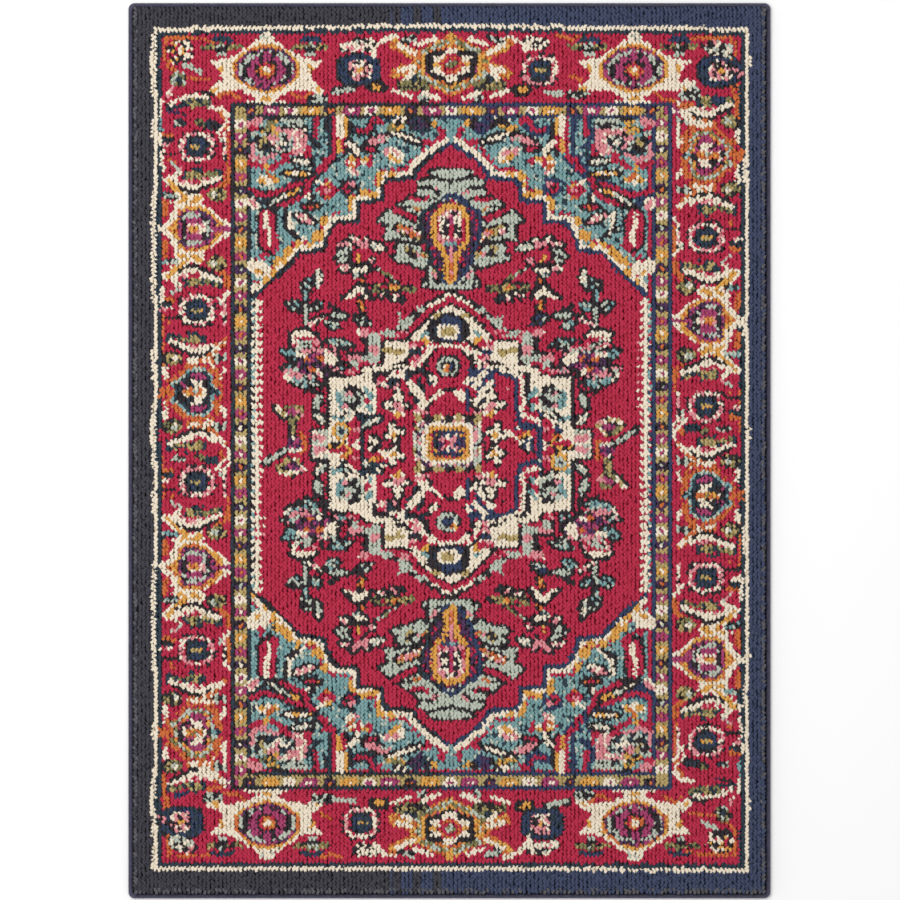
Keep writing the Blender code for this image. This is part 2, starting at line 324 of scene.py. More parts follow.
draw(mirrored, [
    ("L", 1.0, (29.4, 82), (29.4, 73.2), (28.6, 72.4)), ("C", 1.1, (28.2, 82), (28.2, 73.6)),
    ("I", 1.8, (26.9, 82), (26.9, 77.6)), ("G", 1.1, (25.6, 82), (25.6, 78)),
    ("C", 1.3, (26, 77), (26, 73.6)), ("G", 1.2, (27.2, 76.6), (27.2, 73.8)),
    ("K", 0.9, (24.7, 81), (24.9, 74.5), (26, 72.8)), ("L", 2.4, (28.6, 72.4), (34.6, 66.4)),
    ("C", 1.3, (28.4, 72.8), (30.6, 70.6), (34.6, 66.2)), ("L", 1.2, (31.5, 72.5), (30.2, 70.8)),
    ("C", 1.2, (30.8, 72), (30.6, 69.6)), ("L", 1.2, (33.6, 82), (33.6, 75)),
    ("C", 1.1, (32.8, 81.8), (32.8, 80.4)), ("C", 1.1, (33, 79.6), (33, 77.4)),
    ("L", 1.0, (33.4, 72.6), (33.2, 69), (32.4, 67.6)), ("L", 0.9, (30.4, 81.6), (30.4, 78.6)),
    ("C", 1.4, (34.8, 75), (34.8, 71.6), (36, 73.4), (39, 73.6), (41, 72.6)),
    ("L", 1.1, (34.2, 77), (32, 74.6)),
    ("PPI", 0, (35.3, 79.2), (42.5, 80), (43.2, 77.6), (41, 75), (38.4, 73), (36.2, 73), (35.2, 75.6)),
    ("KMTP", 0, (44.6, 78.6), (39.4, 78), (38.2, 76.8), (38, 74.8), (41, 73.8), (45.6, 74)),
    ("KMD", 0, (43.4, 77.8), (40.6, 77.6), (38.4, 76.4), (39.2, 74), (41.6, 72.9), (46.6, 72.8), (49, 75),
     (49, 77)),
    ("PI", 1.0, (44.4, 77), (42, 74.4)), ("P", 1.3, (44.2, 77.2), (42.6, 76.8)),
    ("I", 0.9, (41.6, 76), (40, 75.6)), ("M", 1.0, (48.8, 78.2), (46.8, 77.6)),
    ("GOK", 1.6, (46, 79.2), (43.4, 79.6)), ("GYK", 1.4, (44.2, 78.6), (42.6, 78.2)),
    ("Y", 1.2, (45.4, 77.2), (46.4, 75.6)), ("K", 1.0, (47.2, 77.6), (47.4, 76)),
    ("K", 1.2, (47, 74.2), (45.6, 74.6)), ("P", 2.2, (49, 80.4), (47.2, 81.4)),
    ("C", 1.2, (47.4, 79.2), (49, 79.6)), ("P", 1.3, (49, 72.9), (45.6, 71.4)),
    ("K", 1.0, (44, 81.6), (40.5, 81.8), (39, 80)), ("OG", 1.0, (44.4, 80.9), (42.8, 81)),
    ("M", 1.4, (41, 81.4), (36, 81)), ("KM", 1.2, (41.6, 79.9), (36, 80.2)),
    ("L", 1.0, (35, 79.6), (34.7, 77)), ("P", 1.2, (48.8, 75.4), (48.6, 73.4)),
    ("C", 1.5, (49, 71), (46.4, 70.2)), ("C", 1.4, (43.8, 69.8), (41.6, 71.2), (39.8, 71.6)),
    ("P", 1.0, (45.6, 71.8), (42.8, 73)), ("G", 1.1, (45.2, 70.4), (45, 67.6)),
    ("I", 0, (48, 66.6), (46.6, 67.8), (43.2, 67.8), (41.4, 66.2), (45, 65.4)),
    ("G", 1.5, (46.6, 66.8), (46.2, 66.6)), ("G", 1.5, (43.4, 67), (43, 66.8)),
    ("R", 1.1, (45, 68.4), (43.8, 67)),
    ("L", 2.2, (49, 64), (45.4, 62.9), (42, 63.6), (39, 65.2), (36, 66)),
    ("C", 1.3, (49, 64.2), (45.6, 62.9), (42, 63.7), (39, 65.2), (36.6, 65.8), (35.6, 65.6)),
    ("L", 1.4, (48.8, 62), (46, 61.2), (43.6, 60)), ("L", 1.2, (35.2, 67), (34.2, 64)),
])
leaf(mirrored, (39, 71.6), (33.6, 71), 1.4, "MI")
leaf(mirrored, (41.4, 68.4), (34, 68.2), 1.3, "GI")
leaf(mirrored, (45, 60.4), (36, 64.6), 1.6, "IM")
draw(mirrored, [
    ("G", 1.1, (39.2, 63.2), (37.4, 64.2)), ("K", 2.0, (42.6, 60.2), (35.6, 63.4), (35, 65.8)),
    ("C", 1.2, (42.4, 60), (35.4, 63), (34.8, 66.4)), ("K", 1.2, (46.2, 59.4), (42, 59.8)),
    ("I", 2.4, (49.2, 61.4), (48.2, 60.4)), ("P", 1.2, (49, 61.6), (47.8, 60.2)),
    ("K", 5.2, (45, 57), (45, 51.6)), ("C", 4.2, (45, 57.2), (44.6, 51.6)),
    ("C", 2.2, (43.6, 51.8), (42.8, 50.6), (44.4, 49)),
    ("I", 1.2, (45.2, 58.6), (45.2, 55.2), (44.4, 53.6), (44.4, 51)), ("K", 1.0, (44.8, 49.4), (44, 48.4)),
    ("K", 0.9, (40.4, 59.6), (40.2, 54.4), (38.2, 52.6)),
    ("I", 1.2, (39.4, 58.4), (39.2, 55), (37.4, 52.8), (36, 51.8)), ("K", 0.8, (38.6, 54), (36.8, 52)),
    ("C", 1.3, (46.4, 48.2), (46, 47.6)), ("C", 1.3, (47.4, 46.8), (47, 46)),
    ("I", 3.4, (48.6, 45.6), (47, 44.2)), ("G", 1.2, (47.4, 44.2), (46.8, 44)),
    ("P", 1.2, (46.2, 46), (45.6, 45.6)), ("I", 2.4, (46, 45.6), (45.4, 44.6)),
    ("K", 1.6, (34.4, 61.8), (33.8, 62.6)), ("I", 1.0, (34.9, 62.8), (34.7, 60.6)),
    ("K", 1.0, (34, 63), (33.8, 60.8)),
])
leaf(mirrored, (38.6, 58.4), (33, 56.2), 1.8, "PI")
leaf(mirrored, (36.4, 60), (31.8, 60.2), 1.0, "CR")
for x, y, edge, spot in ((30.2, 64.2, "C", "P"), (25, 64.8, "L", "K")):
    paint(oval(x, y, 2.6, 2.6, mirrored, 1), edge)
    paint(oval(x, y, 1.7, 1.7, mirrored, 1), "C")
    paint(oval(x, y, 0.8, 0.6, mirrored), spot)
draw(mirrored, [
    ("G", 1.1, (30, 65.8), (29.8, 65.2)), ("R", 1.1, (30.2, 62.6), (30, 62.2)),
    ("I", 1.0, (32.6, 66.6), (31, 65.6)), ("L", 1.1, (27, 66.2), (23.2, 67)),
    ("P", 1.3, (24.2, 65.8), (23.6, 65.4)), ("L", 1.0, (22.8, 65.6), (22.8, 63.4)),
    ("IC", 0, (26, 71.2), (24.6, 72.4), (20.4, 72.4), (19.4, 71), (21.4, 70.6), (24.8, 69.8)),
    ("G", 1.4, (24, 72), (23.2, 71.4)), ("G", 1.2, (21.6, 71.8), (20.6, 71.8)),
    ("I", 1.0, (24.6, 70.8), (21.8, 70.8)), ("C", 1.2, (22.8, 72.6), (22.6, 70.4)),
    ("C", 1.4, (19.4, 72), (19.8, 70.8)), ("I", 2.2, (24.4, 69.6), (23.6, 68.8)),
    ("P", 1.0, (23.4, 69.6), (23, 68.4)), ("R", 1.0, (24.4, 70.6), (24, 70)),
    ("I", 0, (17, 73.8), (15.6, 75), (12.6, 74.6), (11, 73.2), (11.6, 70.6), (13.6, 70.8)),
    ("G", 1.2, (14.6, 72.8), (12.8, 71.4)), ("P", 1.2, (15.6, 74.2), (15.2, 73.4)),
    ("P", 1.2, (13.4, 73.8), (13, 73.4)),
])
leaf(mirrored, (21.6, 75), (14.6, 78), 1.8, "P")
leaf(mirrored, (15, 78.8), (7, 76), 1.0, "I")
leaf(mirrored, (21.6, 74.8), (17.6, 74), 0.9, "C")
draw(mirrored, [
    ("K", 2.2, (24.6, 76), (23.6, 74.6), (23, 73.4)), ("I", 1.3, (25, 76), (23.6, 75.2), (22.8, 73.2)),
    ("MP", 1.2, (17, 76.6), (15, 77)), ("GO", 1.8, (14.8, 79.6), (11.6, 80.2)),
    ("K", 1.0, (13.6, 80.9), (11, 81.2)), ("L", 2.6, (23, 79.2), (21, 78.4), (19.2, 79.4), (18.8, 82)),
    ("C", 1.0, (23, 79.2), (21, 78.6), (19.4, 79.6), (18.8, 82)), ("C", 1.4, (17.6, 81.6), (17, 80.8)),
    ("KI", 1.4, (13.4, 81.4), (10.6, 81.8)), ("NU", 3.2, (8.2, 80.6), (7, 79.6)),
    ("K", 1.0, (10.4, 80.6), (9.4, 79.2)), ("G", 1.6, (4.2, 80.8), (3.6, 80.8)),
    ("K", 1.2, (5.4, 81.6), (5, 80)), ("K", 0.9, (9.8, 76), (7, 75.4)),
])


# Pendants. Above and below the medallion a cluster of mint leaves with ink outlines holds a navy ring with
# a gold flame in it.
cluster = [(-1, 40.2), (6.6, 40.2), (6.6, 44), (14.6, 46.6), (17.6, 56.4), (8.6, 67.2), (-1, 69.8)]
zone[polygon(cluster, mirrored) & ~spandrel_zone] = "pendant"
mint_leaves = [
    [(4.6, 68.6), (-1, 69), (-1, 66.4), (2.6, 66.9)],
    [(7.4, 66), (5.4, 66.8), (-1, 66), (-1, 62), (4, 60.6), (5.4, 61.4), (4.2, 62.8), (8, 62.9),
     (7.6, 63.9), (5, 65)],
    [(13.2, 59.8), (11, 61), (9.6, 62.2), (8.4, 61.3), (4, 60.4), (5.5, 59.2), (9, 59.4), (12, 59)],
    [(17, 56.8), (14.6, 59), (12.8, 58.5), (9, 56.9), (7.6, 58.6), (6.3, 58.9), (6.4, 56), (8.6, 55.4),
     (13.8, 56.6), (13, 54.4), (13.5, 52.3), (15.5, 52.2), (14.6, 56)],
    [(12.6, 53), (8, 52.8), (6.9, 51.6), (7.6, 51.3), (9, 51.9), (12.6, 52.1)],
    [(12.9, 50.2), (10, 50.5), (8, 50), (6.6, 48.4), (5.4, 46.6), (7, 45.4), (8.6, 46.2), (10, 46.8),
     (11.6, 48)],
    [(13.8, 47.7), (12.2, 48), (10.6, 46.8), (12, 46.8)],
    [(5, 45.7), (3.5, 45.4), (2, 43.6), (-1, 42.8), (-1, 40.3), (3.5, 40.3), (6, 40.9), (5.8, 42),
     (4.6, 42.5)],
]
for mix, margin in (("K", 2.0), ("M", 0.8)):
    for rim in mint_leaves:
        paint((polygon(rim, mirrored) | along(rim + rim[:1], margin, mirrored)) & ~corner, mix)
draw(mirrored, [
    ("K", 0.8, (4.6, 67.8), (2.4, 66.9), (-1, 66.4)), ("PK", 1.3, (3.8, 64.2), (3, 63.6)),
    ("K", 0.8, (6.6, 64.6), (4.4, 64.9)), ("K", 0.8, (7.6, 62.6), (4, 62)),
    ("C", 0.9, (9.4, 62.2), (6.6, 61.6), (5.6, 62.4)), ("K", 2.2, (13.4, 59.4), (8.4, 57.2)),
    ("C", 1.4, (13.6, 59.5), (8.4, 57.2)), ("K", 0.8, (12, 60.2), (9, 60.2)),
    ("K", 2.8, (12.4, 54.8), (6, 52.4)), ("RPIY", 1.9, (12.2, 54.8), (5.8, 52.2)),
    ("YR", 0.9, (8.6, 60), (7.6, 59.4)), ("YK", 2.2, (10, 49.4), (9.6, 48.6)),
    ("K", 1.1, (10, 48.9), (9.8, 48.6)), ("K", 0.9, (8.6, 48.4), (8.2, 48)),
    ("P", 0.9, (8, 48.6), (7.8, 48.4)), ("YR", 1.3, (6.4, 48.4), (6, 47.9)),
    ("P", 1.3, (4, 43.9), (3.6, 42.9)), ("YG", 1.0, (3.8, 44.9), (3.5, 44.4)),
    ("K", 0.9, (3.4, 42.2), (2.6, 41.6)), ("K", 1.0, (5.6, 44.6), (4.6, 46.4)),
    ("K", 0.8, (5.4, 42.6), (5.2, 40.6)), ("K", 0.8, (13.4, 52), (7, 51)),
    ("UKCU", 0, (-1, 62.4), (4, 60.2), (6.6, 57.8), (6.6, 54), (5.2, 50), (4.8, 46.4), (1.6, 42.6),
     (-1, 41.6)),
    ("N", 1.1, (-1, 63.4), (1.6, 62.2), (4, 60.3), (6.8, 58.4), (7, 55.5), (6.2, 52.2), (5.2, 50),
     (4.9, 46.8), (3.4, 44.9), (1.4, 42), (-1, 41)),
    ("PI", 0, (-1, 60), (2, 59.2), (3.4, 57), (3.4, 52.4), (2.4, 50.8), (-1, 50.4)),
    ("PC", 1.1, (3, 57), (3, 52)), ("G", 1.4, (-1, 60.4), (2, 59.8), (3.7, 57.6), (3.7, 52.4), (2.6, 50.2)),
    ("KKI", 0, (0, 57.6), (1.8, 57.6), (2.5, 55), (2.3, 52.4), (0, 52.4)),
    ("PC", 1.5, (1.2, 51.8), (2.4, 51.9)), ("IK", 0.9, (-1, 58.7), (0.6, 58.5)),
    ("AC", 0.9, (-0.4, 57.6), (-0.4, 51.6)), ("BT", 0.9, (-1, 51.2), (1, 50.9), (1.8, 50.4)),
    ("G", 1.3, (1.6, 49.8), (0.9, 47.6), (0.8, 42.6)), ("P", 0.9, (-0.4, 50), (-0.4, 46)),
    ("RP", 1.0, (-0.4, 46), (-0.4, 42.6)), ("G", 0.9, (0.8, 42.4), (-0.4, 41.4)),
])


# Field. Flowers, leaves and vines stand on the plain crimson ground between the medallion and the
# spandrels.
draw(mirrored, [
    ("K", 1.1, (18.4, 45), (16, 43.6), (14, 42), (12.6, 41.2)),
    ("MO", 0.7, (18, 44.8), (15.6, 43.6), (13.4, 42)), ("C", 0.8, (17, 43), (15.4, 42)),
    ("KO", 2.2, (18.4, 40.2), (15, 40.2), (9.4, 39.8)), ("OYK", 1.3, (17.6, 40.4), (14, 40.4), (10, 39.8)),
    ("GR", 1.4, (14, 40.2), (13.2, 39.9)), ("C", 0.9, (16.4, 40.4), (15.8, 40.6)),
])
for tip, heel, width, mix in (
    ((27.6, 50.6), (23.6, 51.2), 1.4, "IP"), ((28.4, 47.4), (23.8, 49.6), 1.9, "M"),
    ((20.4, 51), (15.8, 49.6), 1.8, "IM"), ((24.4, 53), (22.2, 50.8), 1.3, "IP"),
    ((20, 52.6), (20.8, 50.4), 1.3, "IP"), ((27, 44.4), (24.2, 45.8), 1.8, "PI"),
    ((18.6, 47.6), (19.6, 46), 1.4, "PI"), ((27.4, 46.4), (25, 48), 1.4, "M"),
    ((24, 44.2), (19.8, 44.8), 1.7, "I"), ((32.2, 44.8), (32.8, 40), 1.9, "MI"),
    ((36.8, 39.4), (33.8, 42.6), 2.0, "KMT"), ((36.4, 41.6), (34, 39.4), 1.4, "KMT"),
    ((17.8, 38), (15.2, 38.6), 0.9, "PI"), ((14.6, 37), (12.4, 38.4), 1.0, "PI"),
    ((12.8, 37.2), (10.8, 37.4), 0.9, "DK"), ((40.2, 36.2), (35.6, 34.6), 2.0, "KMT"),
    ((34.6, 34.4), (31.4, 36.6), 1.8, "KMT"), ((38.6, 36.8), (36.2, 35.2), 1.0, "MT"),
    ((29.8, 33.4), (24.8, 33.2), 1.5, "M"), ((30.6, 31.8), (27, 30.4), 2.2, "KMT"),
    ((23.6, 33.2), (19.2, 31), 2.0, "KNM"), ((30, 27.2), (23.8, 25.6), 1.9, "TMK"),
    ((41.4, 24.8), (36.8, 22.4), 2.4, "TTK"), ((41.6, 20.2), (36.2, 20), 1.3, "PMKT"),
    ((40.2, 17.6), (32.2, 16.4), 2.6, "TTMK"), ((30, 20), (25.2, 19.4), 1.9, "TPK"),
    ((32, 14.8), (33, 9.8), 2.0, "M"), ((33.4, 9), (30.4, 6.4), 1.6, "MI"),
    ((29.8, 23.6), (27.6, 22), 1.9, "IP"),
):
    leaf(mirrored, tip, heel, width, mix)
draw(mirrored, [
    ("K", 4.4, (22.8, 48), (22, 47.2)), ("C", 3.4, (22.6, 48), (22, 47.4)),
    ("G", 1.0, (22.4, 47.8), (22.3, 46.8)), ("P", 1.5, (22.6, 51), (20.6, 50.4)),
    ("K", 1.2, (24.4, 46), (20.4, 46)), ("DM", 1.4, (23.4, 43.4), (21.6, 42.6)),
    ("K", 2.0, (21.6, 42.2), (21.4, 40.8)), ("R", 1.3, (21.6, 42), (21.4, 40.6)),
    ("K", 1.4, (26.6, 37.4), (24.6, 39), (22.8, 41), (20.8, 40.4), (19.2, 37.6)),
    ("I", 0, (26.2, 37.6), (24.8, 38.2), (23.4, 40.2), (21.6, 40.2), (20.4, 38.8), (19.8, 37),
     (21.2, 37.6), (22.4, 38.8), (24, 37.6)),
    ("K", 2.0, (22.2, 37.4), (21.4, 34.6)), ("R", 1.2, (22, 36.6), (21.4, 34.8)),
    ("G", 0.9, (21.8, 35.6), (21.7, 35.4)), ("K", 1.9, (35.4, 38.8), (35.4, 36), (35.4, 31)),
    ("M", 1.0, (35.4, 35.4), (35.2, 30.8)), ("MT", 1.0, (35.6, 38.8), (35.4, 37.4)),
    ("K", 1.8, (34.6, 31), (31.4, 33)), ("IP", 1.0, (34.6, 31), (31.8, 32.6)),
    ("K", 1.4, (29.6, 35.6), (27.4, 34.6)), ("K", 1.4, (39.4, 28.6), (37, 30), (34.8, 29.8), (32.4, 28.2)),
    ("I", 0, (39, 28.2), (37.4, 29.6), (35, 29.6), (32.4, 28), (34.6, 28), (36.8, 28)),
    ("I", 1.3, (38.4, 28.4), (36, 28.8)), ("PI", 1.6, (38.8, 27.4), (37.6, 26.2)),
    ("KM", 1.6, (36.8, 26.6), (34.2, 26)), ("PC", 1.6, (33.2, 26.6), (32.2, 26)),
    ("K", 1.0, (39.4, 25.8), (39.2, 27.4)), ("K", 0.9, (31.6, 27), (31.4, 25.6)),
    ("UKA", 0, (37, 24.4), (31, 24.6), (28, 24.8), (27, 22.4), (27.4, 20.8), (31, 18), (36, 18), (38, 21)),
    ("I", 1.9, (37.2, 23.8), (35.8, 24)), ("AU", 2.4, (34, 23), (31, 23.4)),
    ("R", 1.2, (35.4, 22.6), (35, 22.2)), ("R", 1.3, (32.2, 22.8), (31.8, 22.6)),
    ("PMK", 1.6, (37, 24.8), (27.6, 24.4)), ("AUK", 1.3, (35.4, 21.2), (30.6, 21)),
    ("I", 1.2, (30.4, 24.2), (30, 21.6)), ("I", 2.2, (29, 22.8), (28.6, 22)),
    ("K", 1.0, (27.6, 24.6), (26.6, 21.4), (30.2, 19.4)), ("R", 1.2, (34.2, 20), (33.8, 19.8)),
    ("I", 1.4, (32.6, 20), (31.4, 18.8)), ("PMK", 1.6, (40.4, 19.6), (36.6, 18.2), (33, 18.4)),
    ("I", 1.0, (40.4, 18.6), (39.6, 17.4)), ("K", 1.1, (31, 19.4), (31.2, 15.6)),
    ("K", 1.6, (35.4, 14.6), (33, 14)), ("C", 0.9, (34.6, 14.2), (33.6, 13.6)),
    ("P", 1.0, (38.6, 18.4), (36, 18.8)),
])
for sheet in (whole, turned):
    draw(sheet, [
        ("K", 1.2, (-43.4, 10.8), (-41.8, 8.4), (-39.6, 7.2)),
        ("IY", 1.2, (-42.6, 10.8), (-41, 9), (-39.4, 7.8)),
        ("OK", 0, (-40.6, 11), (-36.6, 11), (-35.8, 8.6), (-38, 7), (-40.2, 8)),
        ("YO", 1.2, (-39, 10.8), (-36.8, 10.4)), ("A", 1.6, (-39.2, 9.8), (-38, 9.2)),
        ("P", 1.1, (-37.4, 9.4), (-36.6, 9)), ("Y", 1.2, (-38, 7.8), (-37.4, 7.6)),
        ("K", 2.4, (-38.8, 7.4), (-38.6, 1)), ("YO", 1.4, (-38.8, 7.4), (-38.4, 4.6)),
        ("UA", 3.0, (-38.6, 1.8), (-37.6, 1.6)), ("I", 0.9, (-38.8, 3.4), (-38.6, 3)),
        ("R", 1.2, (-36.4, 3.8), (-35.6, 0.4), (-36.4, -0.4)), ("K", 2.0, (-45.6, -3.2), (-40.2, 0.2)),
        ("M", 1.1, (-45.2, -2.8), (-40.2, 0.2)), ("MI", 0.9, (-39.4, 0.2), (-36.6, 0.2)),
        ("K", 0, (-43.4, -4.4), (-39.6, -1.4), (-36.4, -3), (-35.2, -5), (-38.6, -6.8), (-41.6, -5.8)),
        ("YO", 1.3, (-42.2, -4), (-39.6, -2.4)), ("YI", 1.3, (-38, -2.4), (-36, -4.6)),
        ("UA", 1.8, (-39.6, -3.8), (-37.6, -4.2)), ("IY", 1.3, (-42, -5.2), (-39, -5.9)),
        ("IP", 1.0, (-38, -5.4), (-36.4, -5.2)),
    ])


# Medallion. An ivory star-shaped medallion with a stepped outline stands in the middle of the field around
# a second crimson ground with a square flower at its centre.
shape = [
    (-1, 36.3), (2.6, 34.5), (5, 32.7), (9.4, 28.3), (9.6, 27), (16, 27), (16, 21), (21, 20.5), (22, 18.3),
    (30, 18), (30, 5), (33.8, 5), (33.8, 1), (-1, 1),
]
inner = [
    (-1, 25.6), (3, 24.9), (6.4, 22), (7.6, 19.7), (13, 19.5), (14.3, 18.6), (18.3, 18.3), (18.3, 9),
    (22.5, 8.6), (24.5, 7), (25, 5), (25, 1), (-1, 1),
]
zone[along(shape[:-2], 4.4, mirrored) | polygon(shape, mirrored)] = "medallion"
draw(mirrored, [
    ("K", 0, (-1, 40.2), (6, 36.4), (9.8, 33.6), (9.4, 31.4), (17.4, 29), (22.4, 30.2), (21, 24.4),
     (25.4, 24.4), (25.4, 18), (-1, 18)),
    ("IIK", 0.9, (-1, 38.9), (5.4, 35.6)),
    ("C", 1.4, (-1, 37.7), (4.6, 34.6), (8, 31.9), (10, 28.9), (11.6, 28.1), (16.4, 28.2)),
    ("C", 1.6, (16.4, 28.2), (17, 27.4)), ("C", 1.4, (22.4, 21.4), (17, 21.5)),
    ("C", 1.3, (25.2, 19.2), (22.4, 19.1)), ("I", 1.5, (22, 29.2), (19.4, 28.8)),
    ("P", 1.9, (21.4, 28.9), (20, 28.7)), ("PC", 1.7, (19, 28.7), (16.8, 28.4)),
    ("M", 1.7, (16, 28.9), (13.6, 28.7)), ("PC", 1.4, (13, 28.8), (11, 29.2)),
    ("M", 2.4, (18.5, 28), (18.5, 22.4)), ("P", 2.2, (18.6, 25), (18.4, 24.4)),
    ("P", 1.1, (18.2, 23), (17.8, 22.6)), ("M", 1.6, (21.4, 22.6), (17.6, 22.6)),
    ("P", 1.9, (24, 22.8), (22.4, 22.6)), ("M", 1.9, (23.4, 21.6), (23.3, 20.4)),
    ("C", 1.7, (23.8, 19.4), (22, 19.3)), ("P", 1.0, (24.4, 19.6), (24, 19.4)), ("K", 0.9, *shape[:-2]),
    ("I", 0, *shape),
    ("M", 0, (12.8, 34.4), (11.4, 32.6), (8.2, 33.3), (9.8, 31), (10.6, 30.2), (13.2, 29.6), (12.3, 31.4)),
    ("M", 0, (8.8, 34), (7.6, 35.4), (5.2, 34.9), (6.4, 33.8)),
    ("K", 0, (30.2, 5.8), (34.6, 5.4), (34.6, 1), (30.2, 1)),
    ("MI", 0, (30, 5.2), (33.9, 5.2), (33.9, 1), (30, 1)), ("P", 1.4, (33, 3.2), (31.2, 2.8)),
])
draw(whole, [
    ("P", 1.3, (-32.8, 0.4), (-31, 0)), ("P", 1.3, (33.2, 2.4), (31.4, 2.8)),
    ("K", 0.8, (-33.9, -2.6), (-30.2, -2.8)),
])
draw(mirrored, [("K", 2.0, *inner[:-1]), ("I", 1.0, *inner[:-1]), ("C", 0, *inner)])
crown = (np.abs(X + 0.3), np.abs(Y - 1.5) + 1.5)
draw(crown, [
    ("K", 0.8, (-1, 25.1), (3, 24.5), (5.8, 22), (6.2, 19.8)),
    ("I", 1.3, (-1, 26.1), (3.4, 25.4), (7, 22.6), (8, 20.3), (10.6, 20)),
    ("CCI", 1.0, (-1, 27), (4, 26.3), (8.4, 23), (9.4, 21.1)),
    ("K", 0.8, (-1, 27.8), (4.8, 27), (9.4, 23.6), (10.2, 21.6), (13.4, 21.2)),
    ("K", 0, (-1, 34), (3, 33.4), (5.3, 31.4), (5.2, 28), (3.6, 26.6), (-1, 26.6)),
    ("N", 0, (-1, 33.4), (2.4, 32.9), (4.6, 30.8), (4.5, 28.4), (3, 27.1), (-1, 27.1)),
    ("K", 1.2, (4, 31.6), (4.2, 28)), ("I", 3.6, (1.2, 29.3), (-1, 29.3)),
    ("Y", 2.2, (0.6, 29.3), (-1, 29.3)), ("C", 2.0, (4.4, 21.6), (2, 24.3), (-1, 24.5)),
    ("K", 5.8, (0.2, 20.7), (0, 20.7)), ("M", 4.7, (0.3, 20.7), (0, 20.7)),
    ("K", 2.9, (0.3, 20.7), (0, 20.7)), ("N", 1.5, (0.8, 20.7), (0, 20.7)),
])
draw(mirrored, [
    ("Y", 1.2, (3.8, 33.2), (2.8, 33.4)), ("G", 1.8, (6.2, 27.2), (5.8, 26.6)),
    ("T", 1.0, (6.4, 28.6), (5.6, 28.8)), ("C", 1.7, (9.2, 26.2), (7, 26.4)),
    ("P", 1.0, (9.4, 25.6), (8.8, 25.8)), ("NK", 1.6, (9, 24.4), (7.8, 24.2)),
    ("Y", 1.2, (15.8, 24.8), (11.6, 24.4)), ("Y", 1.0, (13, 24), (12.2, 23.6)),
    ("P", 1.1, (8.6, 22.9), (7.6, 22.4)), ("K", 0.9, (4.8, 23.4), (5.4, 21.6), (5, 18.6), (3, 17)),
    ("P", 1.0, (8.4, 21.4), (7.8, 20.2)), ("I", 1.1, (4.4, 18.2), (3.4, 17.4)),
    ("K", 4.0, (17, 17.4), (14, 17)), ("IP", 2.6, (17, 17), (15.6, 16.8)),
    ("N", 1.9, (14.6, 16.8), (13.6, 17)), ("C", 1.2, (17.2, 17.8), (16.2, 17.4)),
    ("I", 1.0, (14.8, 18.6), (13, 18.4)), ("P", 1.0, (13.8, 15.4), (13, 16)),
    ("I", 1.5, (11.8, 19.4), (11.4, 18.2)), ("N", 1.5, (10.6, 19), (9.6, 15.4), (8, 12.4)),
    ("N", 1.5, (10.4, 19.2), (7, 19.6), (4.8, 18.2), (4.6, 16.6)),
    ("N", 1.3, (7.6, 17.4), (6.4, 15), (6.4, 13)), ("I", 1.3, (4.4, 17.8), (3.4, 16.8)),
    ("I", 2.0, (9.6, 16.6), (8, 14.6), (7, 13.6)), ("I", 1.4, (6.4, 12.6), (7, 11), (8, 9.2)),
    ("I", 1.6, (6.2, 12.4), (5.6, 10.8)), ("K", 1.0, (4.8, 12.6), (2.6, 14.2), (-1, 15.4)),
    ("I", 0.9, (5.4, 11.6), (3.4, 13.2), (1.8, 14.6)), ("P", 0.9, (8, 10), (5.6, 9.2)),
    ("K", 0.9, (5.8, 9.8), (4.4, 11.6)),
])
blooms = (np.where(X < 0, -X, X + 2.3), np.abs(Y - 1.5) + 1.5)
leaf(blooms, (12.6, 15.4), (12.8, 9), 2.4, "I")
draw(blooms, [
    ("K", 2.3, (15.6, 11.2), (10.4, 11)), ("I", 1.1, (15.8, 11.3), (10.2, 11)),
    ("I", 1.0, (14, 9.4), (11.4, 9.2)), ("P", 1.9, (12.8, 11), (12, 10.2)),
    ("G", 1.4, (12.8, 9.2), (12.6, 8.6)), ("K", 2.6, (15.4, 3.6), (11.8, 4.6)),
    ("K", 2.4, (14.2, 6.2), (13.4, 2)), ("I", 1.3, (15.4, 3.6), (11.8, 4.6)),
    ("I", 1.3, (14.2, 6), (13.5, 2.4)), ("G", 1.4, (13.8, 4), (13.4, 3.8)),
])
draw(mirrored, [
    ("K", 3.6, (18.6, 2.2), (18.2, 1.6)), ("IN", 1.8, (19.2, 2.6), (17.8, 1.4)),
    ("M", 0.9, (16.6, 0), (17.4, 1.2)), ("N", 1.3, (21.4, 8.2), (21.4, 1)),
    ("NK", 2.2, (21.6, 8.2), (19, 7.6), (17, 8)), ("NK", 1.6, (17.6, 7), (20.4, 5.6)),
    ("MI", 1.0, (21.2, 6), (19, 7), (17.4, 7.8)), ("P", 1.0, (23.6, 5.2), (22.6, 4.8)),
    ("I", 0.9, (23.6, 1.6), (22.4, 2.4)), ("K", 1.2, (23.4, 11.4), (24.8, 9.4), (27, 7.4)),
    ("MI", 1.0, (22.2, 10.6), (24, 9.8), (25.4, 8)), ("T", 1.1, (28.6, 8.2), (26.6, 7.6)),
    ("T", 1.2, (20.4, 14.8), (19.2, 13.2)), ("T", 1.1, (20, 11), (19.4, 10)),
    ("C", 1.6, (22, 13), (20.2, 12)), ("MK", 5.4, (24.8, 13), (23.8, 12.8)),
    ("K", 1.4, (24.4, 15.6), (22.8, 15.2)), ("K", 1.6, (26, 11), (23.4, 11.4)),
    ("T", 1.5, (27.6, 13.8), (26.6, 10.8)), ("M", 1.4, (25.2, 12.8), (24.2, 12.6)),
    ("P", 1.0, (25.2, 14), (24.8, 13.8)), ("P", 1.1, (26, 10.8), (25.4, 10.8)),
    ("K", 1.0, (29.9, 17.8), (29.9, 6)),
])
